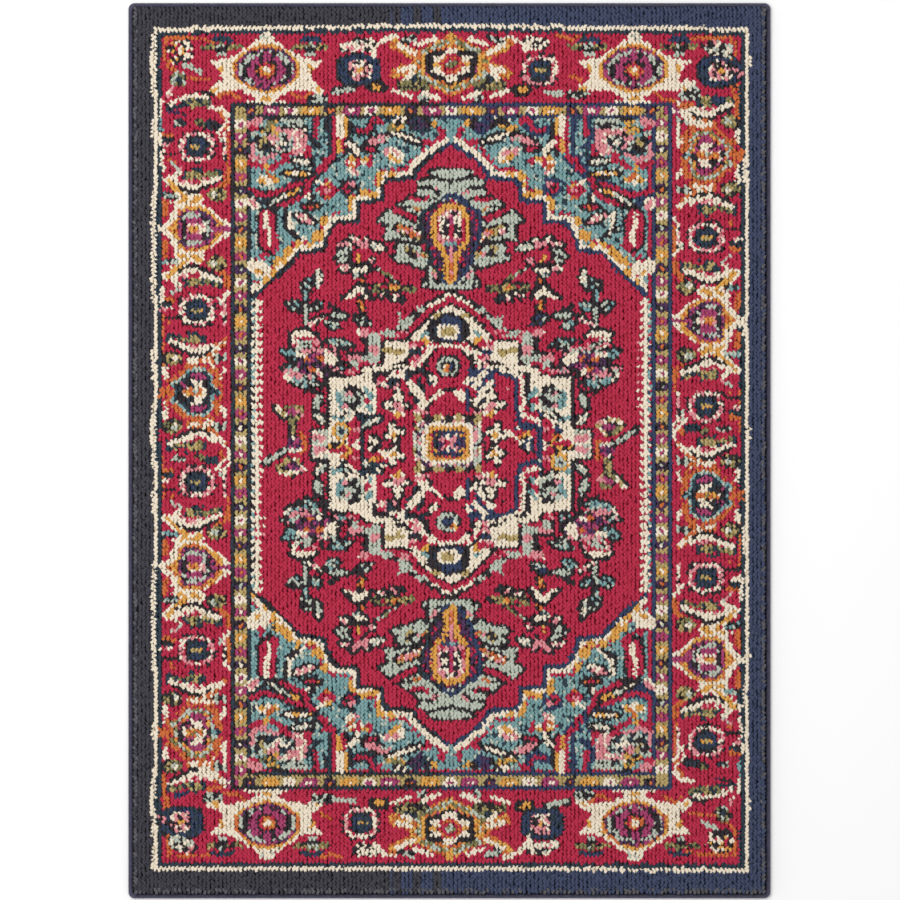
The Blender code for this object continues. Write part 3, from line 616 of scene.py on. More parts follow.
for sheet in (whole, turned):
    draw(sheet, [
        ("GI", 1.2, (-0.9, 21.2), (-0.9, 19.8)), ("R", 0.8, (-0.3, 21), (-0.3, 20)),
        ("K", 1.9, (-29.6, 1), (-26.4, 0.8), (-24.6, 0)), ("G", 1.0, (-29.6, 0.8), (-28.4, 0.2)),
        ("G", 1.9, (-26.4, 0.8), (-25, -0.4)), ("C", 1.2, (-28.8, 0), (-25.6, 0.2)),
        ("R", 1.0, (-26.6, -1.4), (-25.4, -1.8)), ("G", 1.4, (-19, -2.6), (-18, -2)),
        ("R", 1.2, (-17.4, -2.2), (-17, -1.8)), ("NI", 1.2, (-19, -4), (-15.8, -3.8)),
        ("I", 1.0, (-17, -0.2), (-13.2, -3)), ("N", 1.4, (27, 5.4), (27, 4.8)),
        ("G", 4.4, (-26.8, 4.8), (-26.6, 4.6)), ("M", 2.8, (-26.8, 4.8), (-26.6, 4.6)),
        ("D", 1.3, (-26.8, 4.8), (-26.6, 4.6)),
    ])
east = (X, np.abs(Y - 1.5) + 1.5)
draw(east, [
    ("C", 3.4, (13, 18), (17.4, 15.4), (18, 8), (20.6, 8)),
    ("N", 1.1, (10.4, 19.6), (15, 18.6), (16.6, 17.4), (16.4, 12), (17, 9), (17.4, 6.6), (21.4, 6)),
    ("K", 1.0, (18.8, 18), (19, 14), (19.2, 11.4)),
    ("I", 1.0, (12.4, 20), (17.8, 18.2), (18.1, 14), (18.4, 11.6), (17.8, 10.4), (18.2, 8.4), (22, 7.4)),
    ("N", 2.2, (5.6, 19.2), (9.4, 18.6)), ("I", 1.6, (8.6, 19), (6.4, 16)),
    ("I", 1.4, (3, 12.6), (1.6, 14.4)), ("N", 0.8, (4.4, 15), (4.4, 10)),
])
centre = at(whole, -0.2, 1.7)
for mix, half_width, half_height in (
    ("KC", 9.0, 7.4), ("IYKM", 8.5, 6.9), ("PMU", 7.5, 5.9), ("I", 6.5, 5.3), ("G", 5.3, 4.4),
    ("RC", 4.3, 3.5), ("NNU", 3.9, 3.2),
):
    paint(oval(0, 0, half_width, half_height, centre, 5), mix)
for number in range(-3, 4):
    for side in (-1, 1):
        paint(oval(2.5 * number, side * 6.4, 0.9, 0.9, centre, 4), "Y" if number % 2 else "K")
draw(centre, [
    ("PI", 1.1, (-1.9, 1.5), (1.9, -1.5)), ("PI", 1.1, (-1.9, -1.5), (1.9, 1.5)),
    ("I", 1.0, (0, 1.6), (0, -1.6)), ("C", 1.1, (0, 0.3), (0, -0.3)), ("G", 0.9, (-3.2, -1.6), (-3, -2)),
    ("G", 0.9, (3.2, -1.6), (3, -2)), ("G", 0.8, (-3.2, 2), (-3, 2)), ("G", 0.8, (3.2, 2), (3, 2)),
])


# Main border. Six-armed rosettes, square flowers and curved leaves alternate round the wide crimson border
# on rust vines. The drawing turns half round from one end of the rug to the other.
def square_flower(sheet, x, y):
    """A dark square flower in a pink and ivory dotted ring."""
    here = at(sheet, x, y)
    for mix, half_width, half_height in (
        ("KC", 4.9, 4.3), ("PIK", 4.3, 3.7), ("IP", 4.0, 3.4), ("KC", 3.1, 2.8), ("DK", 2.8, 2.6),
        ("DDN", 2.3, 2.1),
    ):
        paint(oval(0, 0, half_width, half_height, here, 3), mix)
    paint(oval(0, 0, 1.5, 0.5, here), "YG")


def crescent(here):
    """A leaf as a crescent: ivory along its back over a dotted ink line, olive and deep teal inside it."""
    draw(here, [
        ("K", 0.9, (-5.2, -0.4), (-3, -1.6), (-0.4, -1.8), (1.8, -0.6), (4.6, 0.7)),
        ("OYD", 2.3, (-2.4, 2.2), (-0.4, 2.4)), ("Y", 0.8, (-1.8, 1.6), (-1.5, 3)),
        ("OYD", 1.3, (0.8, 1.8), (4.8, 3)), ("D", 1.0, (5.6, 1.4), (5.5, 3.4)),
        ("D", 0.8, (-3.8, 1), (-3.2, 2.8)), ("DC", 0.8, (-2, 3.8), (1, 3.7)),
        ("I", 1.2, (-5.2, 0.6), (-3, -0.6), (-0.6, -0.8), (1.4, 0.4), (5, 1.7)),
        ("PIC", 0.8, (-3.8, 0.8), (-1, 0.2), (0.9, 1.2)),
    ])


def blossom(here):
    """A small flower of khaki, olive and ink ends with a pale spot."""
    paint(oval(0, 0, 2.5, 1.9, here), "K")
    paint(oval(0, 0, 2.3, 1.7, here), "OYK")
    paint(oval(-0.8, 0.2, 0.9, 0.8, here), "IM")


def arms(sheet, y, mix):
    """The crossing arms that join a rosette to the leaves beyond it, on both its ends."""
    here = (sheet[0], np.abs(sheet[1] - y))
    draw(here, [
        (mix, 0, (-71.3, 12.6), (-70.4, 11), (-68.4, 9.2), (-66.2, 7.9), (-68.8, 6.4), (-67.4, 5.4),
         (-64.5, 5.6), (-61, 5.8), (-60.2, 7.4), (-61.4, 9), (-63.4, 8.4), (-64.6, 8.6), (-66.4, 10.6),
         (-66.9, 12.4), (-66, 14.4), (-67, 14.4), (-68.4, 13.1)),
        ("G", 1.0, (-69.4, 11.9), (-67.8, 10), (-65, 8)), ("G", 0.9, (-66.6, 6.5), (-65, 7.3)),
        ("G", 1.3, (-63.4, 6.7), (-61.8, 7.6)), ("MP", 0.9, (-68.6, 16), (-66.2, 14.6)),
        ("R", 1.3, (-54.7, 14.4), (-54.8, 12), (-56.8, 10.3)), ("R", 1.2, (-70.2, 6.6), (-70.1, 3.2)),
        ("K", 1.7, (-69.8, 8.2), (-67.6, 8.1)), ("MKT", 1.3, (-70.2, 8.3), (-67.4, 8.1)),
    ])
    blossom(at(here, -57.4, 8.4))
    crescent(at(here, -61.8, 11))


def white_rosette(sheet, y):
    """A pointed rosette: an ivory rim, rings of gold, magenta and speckled mint, and a gold heart."""
    arms(sheet, y, "I")
    draw((sheet[0], np.abs(sheet[1] - y)), [
        ("I", 0, (-71.8, 0.5), (-69.8, 1.9), (-68.9, 2.8), (-68.3, 4.9), (-67.6, 6.1), (-64.5, 6.2),
         (-60.2, 5.6), (-57.6, 3.9), (-55.4, 2.2), (-53.9, 1.2), (-53.9, -1), (-71.8, -1)),
        ("GGR", 0, (-69.8, 0), (-68.2, 1.5), (-67.3, 2.4), (-67.1, 4.2), (-65.4, 5.6), (-63, 5.8),
         (-60.4, 5.2), (-58.4, 3.9), (-56.3, 1.9), (-56.3, -1), (-69.8, -1)),
        ("AU", 0, (-67, 0), (-66.6, 2), (-66.4, 4), (-65, 4.8), (-63, 4.9), (-60.6, 4.3), (-58.6, 2.8),
         (-57.4, 1.1), (-57.4, -1), (-67, -1)),
        ("KM", 0, (-66.2, 0), (-65.9, 2), (-65.4, 4), (-63.4, 4.2), (-61, 3.5), (-59.2, 2), (-58.5, 0.8),
         (-58.5, -1), (-66.2, -1)),
        ("M", 1.3, (-64.4, 3.5), (-63, 3.5)), ("A", 1.8, (-64, 2), (-61.6, 1.9)),
        ("K", 1.1, (-65.5, 1), (-65.5, -1)), ("IP", 2.2, (-64, 0), (-60.8, 0)),
        ("RG", 1.7, (-63.8, 0), (-62.6, 0)), ("A", 1.2, (-58.4, 0), (-54.7, 0)),
    ])


def rust_rosette(sheet, y, rim, fill):
    """The same rosette drawn heart-shaped with a rust rim, a pale line and a dark filling."""
    here = (sheet[0], np.abs(sheet[1] - y))
    middle = -62.6
    heart = [
        (-67.9, 0), (-69.2, 2.2), (-67.4, 3.2), (-65.8, 4.7), (-64.4, 5.8), (-62.4, 6.1), (-60, 5.9),
        (-58.7, 4.8), (-58.5, 3), (-58.1, 1.2), (-56.8, 0.6),
    ]
    closed = [(-67.9, -1), *heart, (-56.8, -1)]
    draw(here, [
        ("RRI", 0, (-65.2, 6), (-64.6, 8.6), (-61, 10.2), (-58.4, 11.6), (-55.4, 13.6), (-54.9, 12.4),
         (-57.2, 9.6), (-57.8, 7), (-59, 5.6)),
        ("I", 1.2, (-63.8, 8), (-62.2, 7.4)), ("I", 1.0, (-60.4, 9.4), (-60.1, 7.2)),
        ("I", 1.1, (-58.8, 10.2), (-56, 12.4)), ("K", 1.4, (-57.8, 8.6), (-55.4, 8.4)),
        ("M", 0.8, (-57.4, 9.2), (-57.4, 7.8)), ("M", 0.8, (-55.6, 9.2), (-55.6, 7.8)),
        ("I", 1.1, (-55.4, 5.6), (-56, 4.4), (-57, 3.4)), ("R", 1.4, (-57.4, 5.4), (-57.2, 1.6)),
        ("I", 1.1, (-70.2, 6.2), (-70, 3)), ("R", 1.2, (-71.2, 0.8), (-69.2, 0.2)),
        ("RRC", 1.6, *[(u, v + 0.4) for u, v in heart]), (rim, 0, *closed),
    ])
    for mix, scale in fill:
        paint(polygon([(middle + (u - middle) * scale, v * scale) for u, v in closed], here), mix)
    draw(here, [
        ("A", 0, (-64.4, 3.7), (-63, 4.9), (-60.6, 4.9), (-60, 3.4), (-61.6, 3.3)),
        ("I", 0, (-64.6, 3.2), (-61.4, 2.8), (-60.4, 1.2), (-62, 1.0), (-63.5, 2.1)),
        ("AK", 1.3, (-66.2, 1.9), (-65.4, 1.6)), ("IK", 2.4, (-65.8, 0), (-60.8, 0)),
        ("IR", 1.9, (-65.2, 0), (-61, 0)), ("RG", 1.5, (-64, 0), (-61.8, 0)),
        ("OM", 0.9, (-63.2, 0), (-62.4, 0)), ("K", 1.4, (-59.6, 0), (-59, 0)),
        ("DT", 1.2, (-58.4, 0), (-57.2, 0)),
    ])
    blossom(at((-here[0], here[1]), 68.4, 8.4))
    crescent(at((-here[0], here[1]), 64, 11))


for sheet in (whole, (1.0 - X, 3.1 - Y)):
    draw(sheet, [
        ("R", 0.9, (-54.9, 80), (-54.9, 70)), ("R", 0.6, (-70.9, 33), (-70.8, 20)),
        ("R", 0.6, (-71, 4), (-70.9, -12)), ("R", 0.9, (-54.8, -12), (-54.8, -14)),
        ("R", 0.9, (-54.8, -44), (-54.6, -52)), ("I", 1.0, (-71.2, 78), (-71.2, 76)),
        ("I", 1.0, (-71, 74), (-70.8, 69)), ("I", 1.0, (-71, 40), (-71, 34.6)),
    ])
    for y in (75, 34.6, -7.8, -49.4):
        square_flower(sheet, -62.4, y)
        draw(sheet, [
            ("R", 1.1, (-70.2, y + 3), (-68.2, y + 2.6)), ("DK", 1.4, (-70.6, y + 1.8), (-68.9, y + 1.5)),
            ("MI", 0.9, (-56.9, y + 3), (-56.6, y + 1.6)), ("PIK", 1.3, (-55.5, y + 2.2), (-55.5, y)),
            ("I", 1.0, (-54.4, y + 4.4), (-55.8, y + 3)), ("K", 0.7, (-71, y - 2), (-67.4, y - 2)),
            ("PIK", 1.3, (-55.7, y - 1), (-55.5, y - 3)), ("RC", 1.1, (-69, y - 3.2), (-68, y - 4.2)),
            ("IP", 0.8, (-71, y + 0.2), (-69, y + 0.6)),
        ])
    white_rosette(sheet, 54.7)
    white_rosette(sheet, -28.8)
    rust_rosette(sheet, 14.3, "MT", (("D", 0.86), ("KD", 0.74)))
    rust_rosette(sheet, -69.7, "MMO", (("GR", 0.82), ("KA", 0.7)))
    draw(sheet, [
        ("I", 1.1, (-54.4, 0), (-54.8, -2), (-57.4, -4.4)), ("R", 1.0, (-56.6, -0.6), (-56, -2)),
        ("OK", 1.5, (-62.2, -1.4), (-60.4, -2.4)), ("D", 2.2, (-59.6, -2.4), (-57.8, -2.4)),
        ("KM", 1.6, (-67.6, -2), (-65.8, -2.2)), ("KMD", 1.8, (-67.4, 80.8), (-66, 80.8)),
        ("OK", 1.7, (-62, 81.2), (-60, 80)), ("DK", 2.4, (-59.4, 80.4), (-57.6, 80)),
        ("I", 1.0, (-59, 84.8), (-56.2, 84.2), (-54.7, 82.6), (-55.2, 80.6), (-57.2, 78.8)),
        ("I", 1.2, (-55.6, -52.6), (-54.6, -54)), ("R", 1.2, (-56.6, 83.4), (-55.8, 82)),
        ("I", 1.3, (-55.4, -72.6), (-55.6, -77)), ("R", 0.7, (-70.2, -80), (-69.8, -98)),
        ("KM", 2.0, (-60, -85.6), (-57, -85.8)), ("I", 1.8, (-59.4, -87.4), (-57.4, -87.8)),
    ])


def end_rosette(sheet, x, y):
    """The large six-armed rosette of the end borders."""
    here = at(sheet, x, y)
    draw((np.abs(here[0]), here[1]), [
        ("I", 0, (-1, 8.2), (2, 7.4), (4, 6), (8.5, 3.2), (9.6, 1), (9.6, -2), (6, -5.2), (2.4, -7),
         (-1, -7.4)),
        ("I", 0, (8.4, 3.2), (10.6, 2.6), (14.3, 2.4), (12.6, 1), (11.3, -0.6), (11, -2.6), (13.2, -3.8),
         (14.6, -5.6), (12.8, -6.2), (10, -4.9), (6, -5.4), (6, 1)),
        ("I", 0, (-1, -6.4), (2.6, -6.4), (2.2, -7.3), (5.8, -8.2), (-1, -8.5)),
        ("I", 1.6, (-1, 9), (1.2, 8)), ("MI", 1.0, (-1, 8.6), (1.4, 7.8)),
        ("G", 1.0, (10.9, 0.8), (11.3, -0.4)), ("G", 1.1, (12.4, -4.6), (13, -5.2)),
        ("G", 1.0, (-1, -7.2), (0.8, -7.2)),
        ("G", 0, (-1, 6.8), (4, 5.5), (8.3, 1.8), (8.3, -2), (4, -4.9), (-1, -6.2)),
        ("R", 0, (-1, 6.1), (4, 5), (7.7, 1.8), (7.7, -1.8), (4, -4.3), (-1, -5.6)),
        ("UA", 0, (-1, 5.7), (4, 4.7), (7.3, 1.7), (7.3, -1.8), (4, -4.1), (-1, -5.3)),
        ("MK", 0, (-1, 5), (4, 4), (6.7, 1.4), (6.7, -1.6), (4, -3.6), (-1, -4.6)),
        ("K", 1.0, (5.6, 1), (5.6, -1.6)), ("M", 0.9, (6.4, 1), (6.4, -1.4)),
        ("M", 1.1, (3.6, 3.4), (4.6, 2.6)),
        ("K", 0, (-1, 4), (2.6, 3.4), (4.8, 0.8), (4.8, -1.6), (2.6, -3.2), (-1, -3.6)),
        ("A", 2.1, (0, 3.4), (0, 3)), ("A", 1.9, (2.6, 2.4), (2.8, 2.2)),
        ("A", 2.0, (3.6, 0.4), (3.6, -1.2)), ("A", 1.9, (2.2, -2.5), (2.4, -2.4)),
        ("A", 1.6, (0, -3.4), (0, -3)), ("CR", 3.6, (0, -0.2), (0.4, -0.2)),
        ("GR", 2.4, (0, -0.2), (0.3, -0.2)), ("I", 1.3, (0, -0.1), (0.4, 0)),
    ])


def dark_octagon(sheet, x, y):
    """A deep teal octagon with a speckled ivory and pink square in it."""
    here = at(sheet, x, y)
    paint(oval(0, 0, 5.6, 4.1, here, 3), "K")
    paint(oval(0, 0, 5.2, 3.7, here, 3), "DN")
    paint(oval(0.4, 0, 2.7, 2.5, here, 4), "PIK")
    paint(oval(0.4, 0, 0.9, 0.6, here), "G")


def clusters(sheet, x, y):
    """A cluster of khaki leaves under two dark arcs, with a mint tip below."""
    draw((np.abs(sheet[0] - x), sheet[1] - y), [
        ("DN", 1.2, (-1, 1.3), (1.2, 1.9), (2.4, 1.2)), ("OYK", 1.3, (1, -0.2), (3.8, -0.4)),
        ("OKM", 1.5, (-1, 0.2), (0.8, 0)), ("K", 0.8, (-1, -1), (1.2, -1.1)),
        ("M", 1.2, (-1, -2.1), (0.7, -2.1)), ("CO", 0.8, (3.8, 0), (4.8, 0)),
    ])


for sheet in (whole, turned):
    end_rosette(sheet, -45.2, 94)
    end_rosette(sheet, 45.6, 94)
    dark_octagon(sheet, -22.4, 94)
    dark_octagon(sheet, 66.6, 93.6)
    square_flower(sheet, 22.4, 93.8)
    for x in (-56.4, -34.4, 34.4, 56.6):
        clusters(sheet, x, 99.8)
    draw(sheet, [
        ("R", 0.9, (-52, 87), (-55, 88.6), (-57, 87.4)), ("R", 0.9, (-39, 88), (-36, 87), (-34, 88.6)),
        ("R", 0.9, (51, 88.4), (53, 86.6), (56, 86.4)), ("R", 0.9, (30, 92.6), (32.6, 91.4)),
        ("R", 0.9, (27, 102.4), (30, 101.4), (32, 102.2)), ("R", 0.9, (60, 101.8), (68, 102)),
        ("R", 1.0, (69.6, 102), (69.6, 97)), ("R", 1.0, (69.6, 90), (71, 86), (71, 82)),
        ("KM", 2.2, (30, 87.8), (33.4, 87.8)), ("KM", 2.4, (57.6, 87.4), (60.6, 87.4)),
        ("KM", 2.2, (-34, 86.8), (-31, 86.8)), ("MKI", 3.6, (65, 99.6), (68.4, 98.6)),
        ("PK", 1.6, (63, 99.8), (65, 100.6)), ("KP", 1.6, (70.4, 94), (71.6, 92.8)),
        ("N", 1.4, (65.6, 86.6), (68, 86.8)),
        ("KKCIGK", 0, (-70, 98.4), (-68.4, 101.2), (-64.4, 101.4), (-62.8, 98.6), (-64, 95.6),
         (-68.4, 95.4)),
        ("K", 0.9, (-69, 97), (-67.6, 95.8)), ("I", 1.0, (-65.4, 100.6), (-64.4, 100.4)),
        ("GI", 1.4, (-66.6, 98.6), (-65.8, 98)), ("I", 0.9, (-64.6, 98), (-63.8, 96.8)),
        ("K", 0.9, (-66.4, 96.2), (-65, 95.8)), ("M", 1.4, (-65.2, 95), (-63.4, 94.4)),
        ("M", 1.1, (-63.4, 94.3), (-61.6, 93.6)), ("OKM", 3.8, (-67.2, 91.8), (-66.8, 91.6)),
        ("D", 1.4, (-67, 91.6), (-66.8, 91.4)), ("IP", 1.0, (-68.6, 89.2), (-69.6, 87.4)),
        ("R", 0.8, (-70, 101.6), (-70.2, 97), (-69, 94.6), (-67.8, 93.8)),
        ("R", 0.8, (-69.6, 101.8), (-60.6, 101.6), (-58.2, 100.6)),
        ("I", 0.9, (-71.1, 86.4), (-71.2, 82.4)), ("T", 0.9, (-71.2, 81.6), (-71.1, 79)),
        ("R", 0.7, (-65, 92), (-59, 91.4)),
        ("K", 0.8, (-69.6, 85), (-67.4, 86.6), (-62, 88.6), (-58.6, 87.8)),
        ("OD", 2.0, (-65.4, 85.6), (-59.4, 86)), ("D", 1.0, (-69.6, 84.4), (-66, 84.8)),
        ("I", 1.1, (-69, 85.4), (-66.4, 86.9), (-62.4, 87.6), (-60, 87.2)),
        ("Y", 0.8, (-63.4, 84.8), (-63, 86.4)), ("KU", 0.7, (-69, 83.6), (-65.2, 82.8)),
        ("I", 1.4, (57, 83.6), (59.4, 81.4), (62.4, 80.2)), ("R", 1.2, (57, 85), (60, 85.4)),
        ("IK", 3.4, (-22.6, 100.4), (-19.6, 100)), ("MIK", 2.6, (-25.6, 99.4), (-22, 100)),
        ("I", 1.2, (-19, 97.4), (-18, 100), (-15, 101.8), (-13, 102.4)),
        ("PI", 1.2, (-25, 99.6), (-21, 99.6)), ("K", 1.9, (-28.6, 88.6), (-23.6, 89.6)),
        ("M", 1.3, (-28.4, 88.4), (-24, 89.4)), ("K", 3.0, (-19, 89.6), (-16.8, 89.8)),
        ("G", 1.5, (-18.6, 89.4), (-17.4, 89.8)), ("K", 3.0, (16.8, 89), (19, 89)),
        ("G", 1.5, (17.4, 89), (18.6, 89)), ("IK", 3.2, (19.6, 100.6), (23, 100.4)),
        ("I", 1.1, (14, 101.6), (17, 101.4), (19, 99)), ("M", 1.3, (24, 88.4), (28, 88)),
    ])
    middle = (np.abs(sheet[0] - 0.5), sheet[1])
    draw(middle, [
        ("RG", 0, (-1, 103.2), (8.8, 98.6), (9.6, 96), (9, 91.6), (-1, 87)),
        ("OM", 0, (-1, 102.6), (8.4, 98.4), (8.8, 96), (8.4, 91.8), (-1, 87.8)),
        ("MO", 2.0, (7.8, 98), (8, 92)), ("RG", 0, (-1, 101), (7.2, 97.6), (7.2, 92.6), (-1, 88.8)),
        ("G", 1.0, (6.8, 97.4), (6.8, 92.8)), ("A", 0, (-1, 100), (6.2, 97), (6.2, 93), (-1, 89.6)),
        ("K", 2.6, (0, 98), (2.4, 97.4), (5, 97.2), (4.8, 93.4), (2.4, 92.8), (0, 91.6)),
        ("I", 0, (-1, 99.6), (1.4, 99), (2.2, 97.2), (5, 97.2), (4.2, 95.2), (5, 93.2), (2.2, 93),
         (1.2, 91.2), (-1, 90.8)),
        ("G", 1.2, (3.4, 95.2), (4.2, 95.2)), ("C", 5.0, (0, 95.3), (0.4, 95.3)),
        ("R", 4.4, (0, 95.3), (0.4, 95.3)), ("C", 3.4, (0, 95.3), (0.4, 95.3)),
        ("MO", 2.1, (0, 95.3), (0.2, 95.3)), ("RG", 2.6, (8.6, 97.6), (11.4, 98.8), (14, 100.4)),
        ("RG", 2.6, (9, 94.6), (12, 93.8), (13.8, 93)), ("I", 1.3, (9, 98), (13, 100)),
        ("I", 1.3, (9.4, 94.6), (13, 93.8)), ("G", 1.8, (0, 102.4), (0, 101)),
        ("OK", 2.4, (6.6, 89.8), (12.6, 90.2)), ("OYK", 2.0, (8, 90.8), (12, 90.8)),
        ("KD", 1.6, (9, 91.8), (11, 92)), ("I", 1.4, (9.8, 93), (11.4, 92)),
        ("I", 1.2, (3, 86.8), (6.8, 88.4)), ("I", 1.0, (10, 87.4), (14.4, 88.8)),
        ("KM", 1.6, (6.2, 86.4), (7.4, 87)), ("I", 1.2, (4.4, 101.6), (8.6, 100.2)),
        ("KM", 1.8, (9.4, 101.8), (12, 101)),
    ])


# Dark lines. L has stood for the yarn of the thin dark lines so far. They are navy, and the yarn changes to
# deep teal and ink over the left of the rug, as the outer border's does.
paint(plan == "L", "N")
paint((plan == "N") & (X < -2) & (zone != "main_border"), "DK")


# Pile. Each knot is a bundle of heat-set yarn pulled up through the ground weave and sheared, so it ends in
# two short cut ends, one behind the other. They lean left and right in turn, which gives the ribs their
# braided look.
pile_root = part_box("ground_weave")[1][2]
pile_top = pile_high[2]
end_height = pile_top - pile_root
end_width = knot * 0.74
end_length = knot * 1.12


def smooth_mesh(bm, name):
    """The finished mesh of a closed shape: its faces turned outwards, and smooth."""
    bmesh.ops.recalc_face_normals(bm, faces=bm.faces[:])
    for face in bm.faces:
        face.smooth = True
    mesh = bpy.data.meshes.new(name)
    bm.to_mesh(mesh)
    bm.free()
    return mesh


# The template is a square end one unit tall: it widens up to its shoulder, then closes in to its tip. Its
# faces are put in a fixed order, so that every run gives the same mesh.
bm = bmesh.new()
bmesh.ops.create_circle(bm, cap_ends=True, segments=4, radius=0.55)
bmesh.ops.rotate(bm, matrix=Matrix.Rotation(math.pi / 4, 3, "Z"), verts=bm.verts[:])
level = bm.faces[:]
for rise, widen in ((0.9, 1.28), (0.1, 0.5)):
    above = bmesh.ops.extrude_face_region(bm, geom=level)["geom"]
    ring = [v for v in above if isinstance(v, bmesh.types.BMVert)]
    bmesh.ops.translate(bm, vec=(0, 0, rise), verts=ring)
    bmesh.ops.scale(bm, vec=(widen, widen, 1), verts=ring)
    if rise < 0.5:
        bmesh.ops.delete(bm, geom=level, context="FACES_ONLY")
    level = [f for f in above if isinstance(f, bmesh.types.BMFace)]
bm.faces.sort(key=lambda face: face.calc_center_median().dot((1, 10, 100)))
cut_end = bpy.data.objects.new("cut_end", smooth_mesh(bm, "cut_end"))


def stand_tree(template):
    """Geometry nodes that stand a copy of the template on each point, turned and sized by its attributes."""
    tree = bpy.data.node_groups.new("stand_ends", "GeometryNodeTree")
    tree.interface.new_socket("Geometry", in_out="INPUT", socket_type="NodeSocketGeometry")
    tree.interface.new_socket("Geometry", in_out="OUTPUT", socket_type="NodeSocketGeometry")
    start = tree.nodes.new("NodeGroupInput")
    end = tree.nodes.new("NodeGroupOutput")
    source = tree.nodes.new("GeometryNodeObjectInfo")
    source.inputs["Object"].default_value = template
    place = tree.nodes.new("GeometryNodeInstanceOnPoints")
    real = tree.nodes.new("GeometryNodeRealizeInstances")
    tree.links.new(start.outputs[0], place.inputs["Points"])
    tree.links.new(source.outputs["Geometry"], place.inputs["Instance"])
    for attribute, socket in (("turn", "Rotation"), ("size", "Scale")):
        named = tree.nodes.new("GeometryNodeInputNamedAttribute")
        named.data_type = "FLOAT_VECTOR"
        named.inputs["Name"].default_value = attribute
        tree.links.new(named.outputs["Attribute"], place.inputs[socket])
    tree.links.new(place.outputs[0], real.inputs[0])
    tree.links.new(real.outputs[0], end.inputs[0])
    return tree


stand_ends = stand_tree(cut_end)


def scatter(scale):
    """A small chance amount for each end."""
    return rng.normal(0, scale, X.shape)


lean = 0.05
twist = 0.4
place_x = (X + scatter(0.03)) * knot
place_y = (Y + scatter(0.04)) * knot
turn_x = -lean + scatter(0.05)
turn_y = -lean_side * lean + scatter(0.05)
turn_z = -lean_side * twist + scatter(0.15)
tall = end_height * (1 - np.abs(scatter(0.05)))


def yarn_material(name, code):
    """Heat-set polypropylene pile yarn, matt and a little fuzzy. Its tone varies from end to end, and light
    is
    painted on: each end is paler at its tip and darker, more saturated, lower down.
    """
    material, shader = new_material(name + "_pile_yarn")
    coords = add(material, "ShaderNodeTexCoord").outputs["Object"]
    ends = add(material, "ShaderNodeTexNoise", {"Vector": coords}, Scale=1.6 / knot, Detail=2.0)
    fibres = add(material, "ShaderNodeTexNoise", {"Vector": coords}, Scale=9 / knot, Detail=3.0)
    height = add(material, "ShaderNodeSeparateXYZ", {"Vector": coords}).outputs["Z"]
    # Painted light: the top 1.6 mm of each end fades to the paler lit colour, and lower down it keeps the
    # darker painted shade.
    tip = add(material, "ShaderNodeMapRange", {"Value": height})
    tip.inputs["From Min"].default_value = pile_top - 0.0016
    tip.inputs["From Max"].default_value = pile_top - 0.0002
    chance = 0.9
    shift = add(material, "ShaderNodeMath", {0: ends.outputs["Fac"]}, operation="MULTIPLY_ADD")
    shift.inputs[1].default_value = chance
    shift.inputs[2].default_value = -chance / 2
    both = {0: tip.outputs["Result"], 1: shift.outputs[0]}
    tone_and_painted_tip_light = add(material, "ShaderNodeMath", both, operation="ADD", use_clamp=True)
    mix = add(material, "ShaderNodeMix", {"Factor": tone_and_painted_tip_light.outputs[0]}, data_type="RGBA")
    base = srgb(code)
    # A is the painted shade colour, darker and more saturated, and B is the painted lit colour of the tips.
    mix.inputs["A"].default_value = (*[c * (0.4 + 0.45 * c) for c in base], 1)
    mix.inputs["B"].default_value = (*[c * 0.97 + 0.006 for c in base], 1)
    material.node_tree.links.new(mix.outputs["Result"], shader.inputs["Base Color"])
    fuzz = knot * 0.15
    bump = add(material, "ShaderNodeBump", {"Height": fibres.outputs["Fac"]}, Strength=0.5, Distance=fuzz)
    material.node_tree.links.new(bump.outputs["Normal"], shader.inputs["Normal"])
    shader.inputs["Roughness"].default_value = 0.85
    shader.inputs["Specular IOR Level"].default_value = 0.2
    return material


def stand(name, place, turn, size, tree):
    """The mesh of one copy of a template on each place. Its map for a texture is the rug's plan."""
    points = bpy.data.meshes.new(name + "_points")
    points.vertices.add(len(place))
    points.vertices.foreach_set("co", place.astype(np.float32).ravel())
    for attribute, values in (("turn", turn), ("size", size)):
        layer = points.attributes.new(attribute, "FLOAT_VECTOR", "POINT")
        layer.data.foreach_set("vector", values.astype(np.float32).ravel())
    seed = bpy.data.objects.new(name + "_points", points)
    bpy.context.scene.collection.objects.link(seed)
    seed.modifiers.new("stand", "NODES").node_group = tree
    graph = bpy.context.evaluated_depsgraph_get()
    mesh = bpy.data.meshes.new_from_object(seed.evaluated_get(graph), depsgraph=graph)
    bpy.data.objects.remove(seed)
    layer = mesh.uv_layers.new(name="OFBake")
    corners = np.empty(len(mesh.loops), np.int32)
    mesh.loops.foreach_get("vertex_index", corners)
    spots = np.empty(len(mesh.vertices) * 3, np.float32)
    mesh.vertices.foreach_get("co", spots)
    flat = spots.reshape(-1, 3)[corners, :2] / (rug_width, rug_length) + 0.5
    layer.data.foreach_set("uv", flat.astype(np.float32).ravel())
    return mesh


def plant(name, where, material):
    """One piece of pile: the cut ends of one yarn in one part of the rug."""
    count = int(where.sum())
    place = np.stack([place_x[where], place_y[where], np.full(count, pile_root)], 1)
    turn = np.stack([turn_x[where], turn_y[where], turn_z[where]], 1)
    size = np.stack([np.full(count, end_width), np.full(count, end_length), tall[where]], 1)
    piece = link_piece(name, stand(name, place, turn, size, stand_ends), material)
    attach(piece, "root")
    return piece


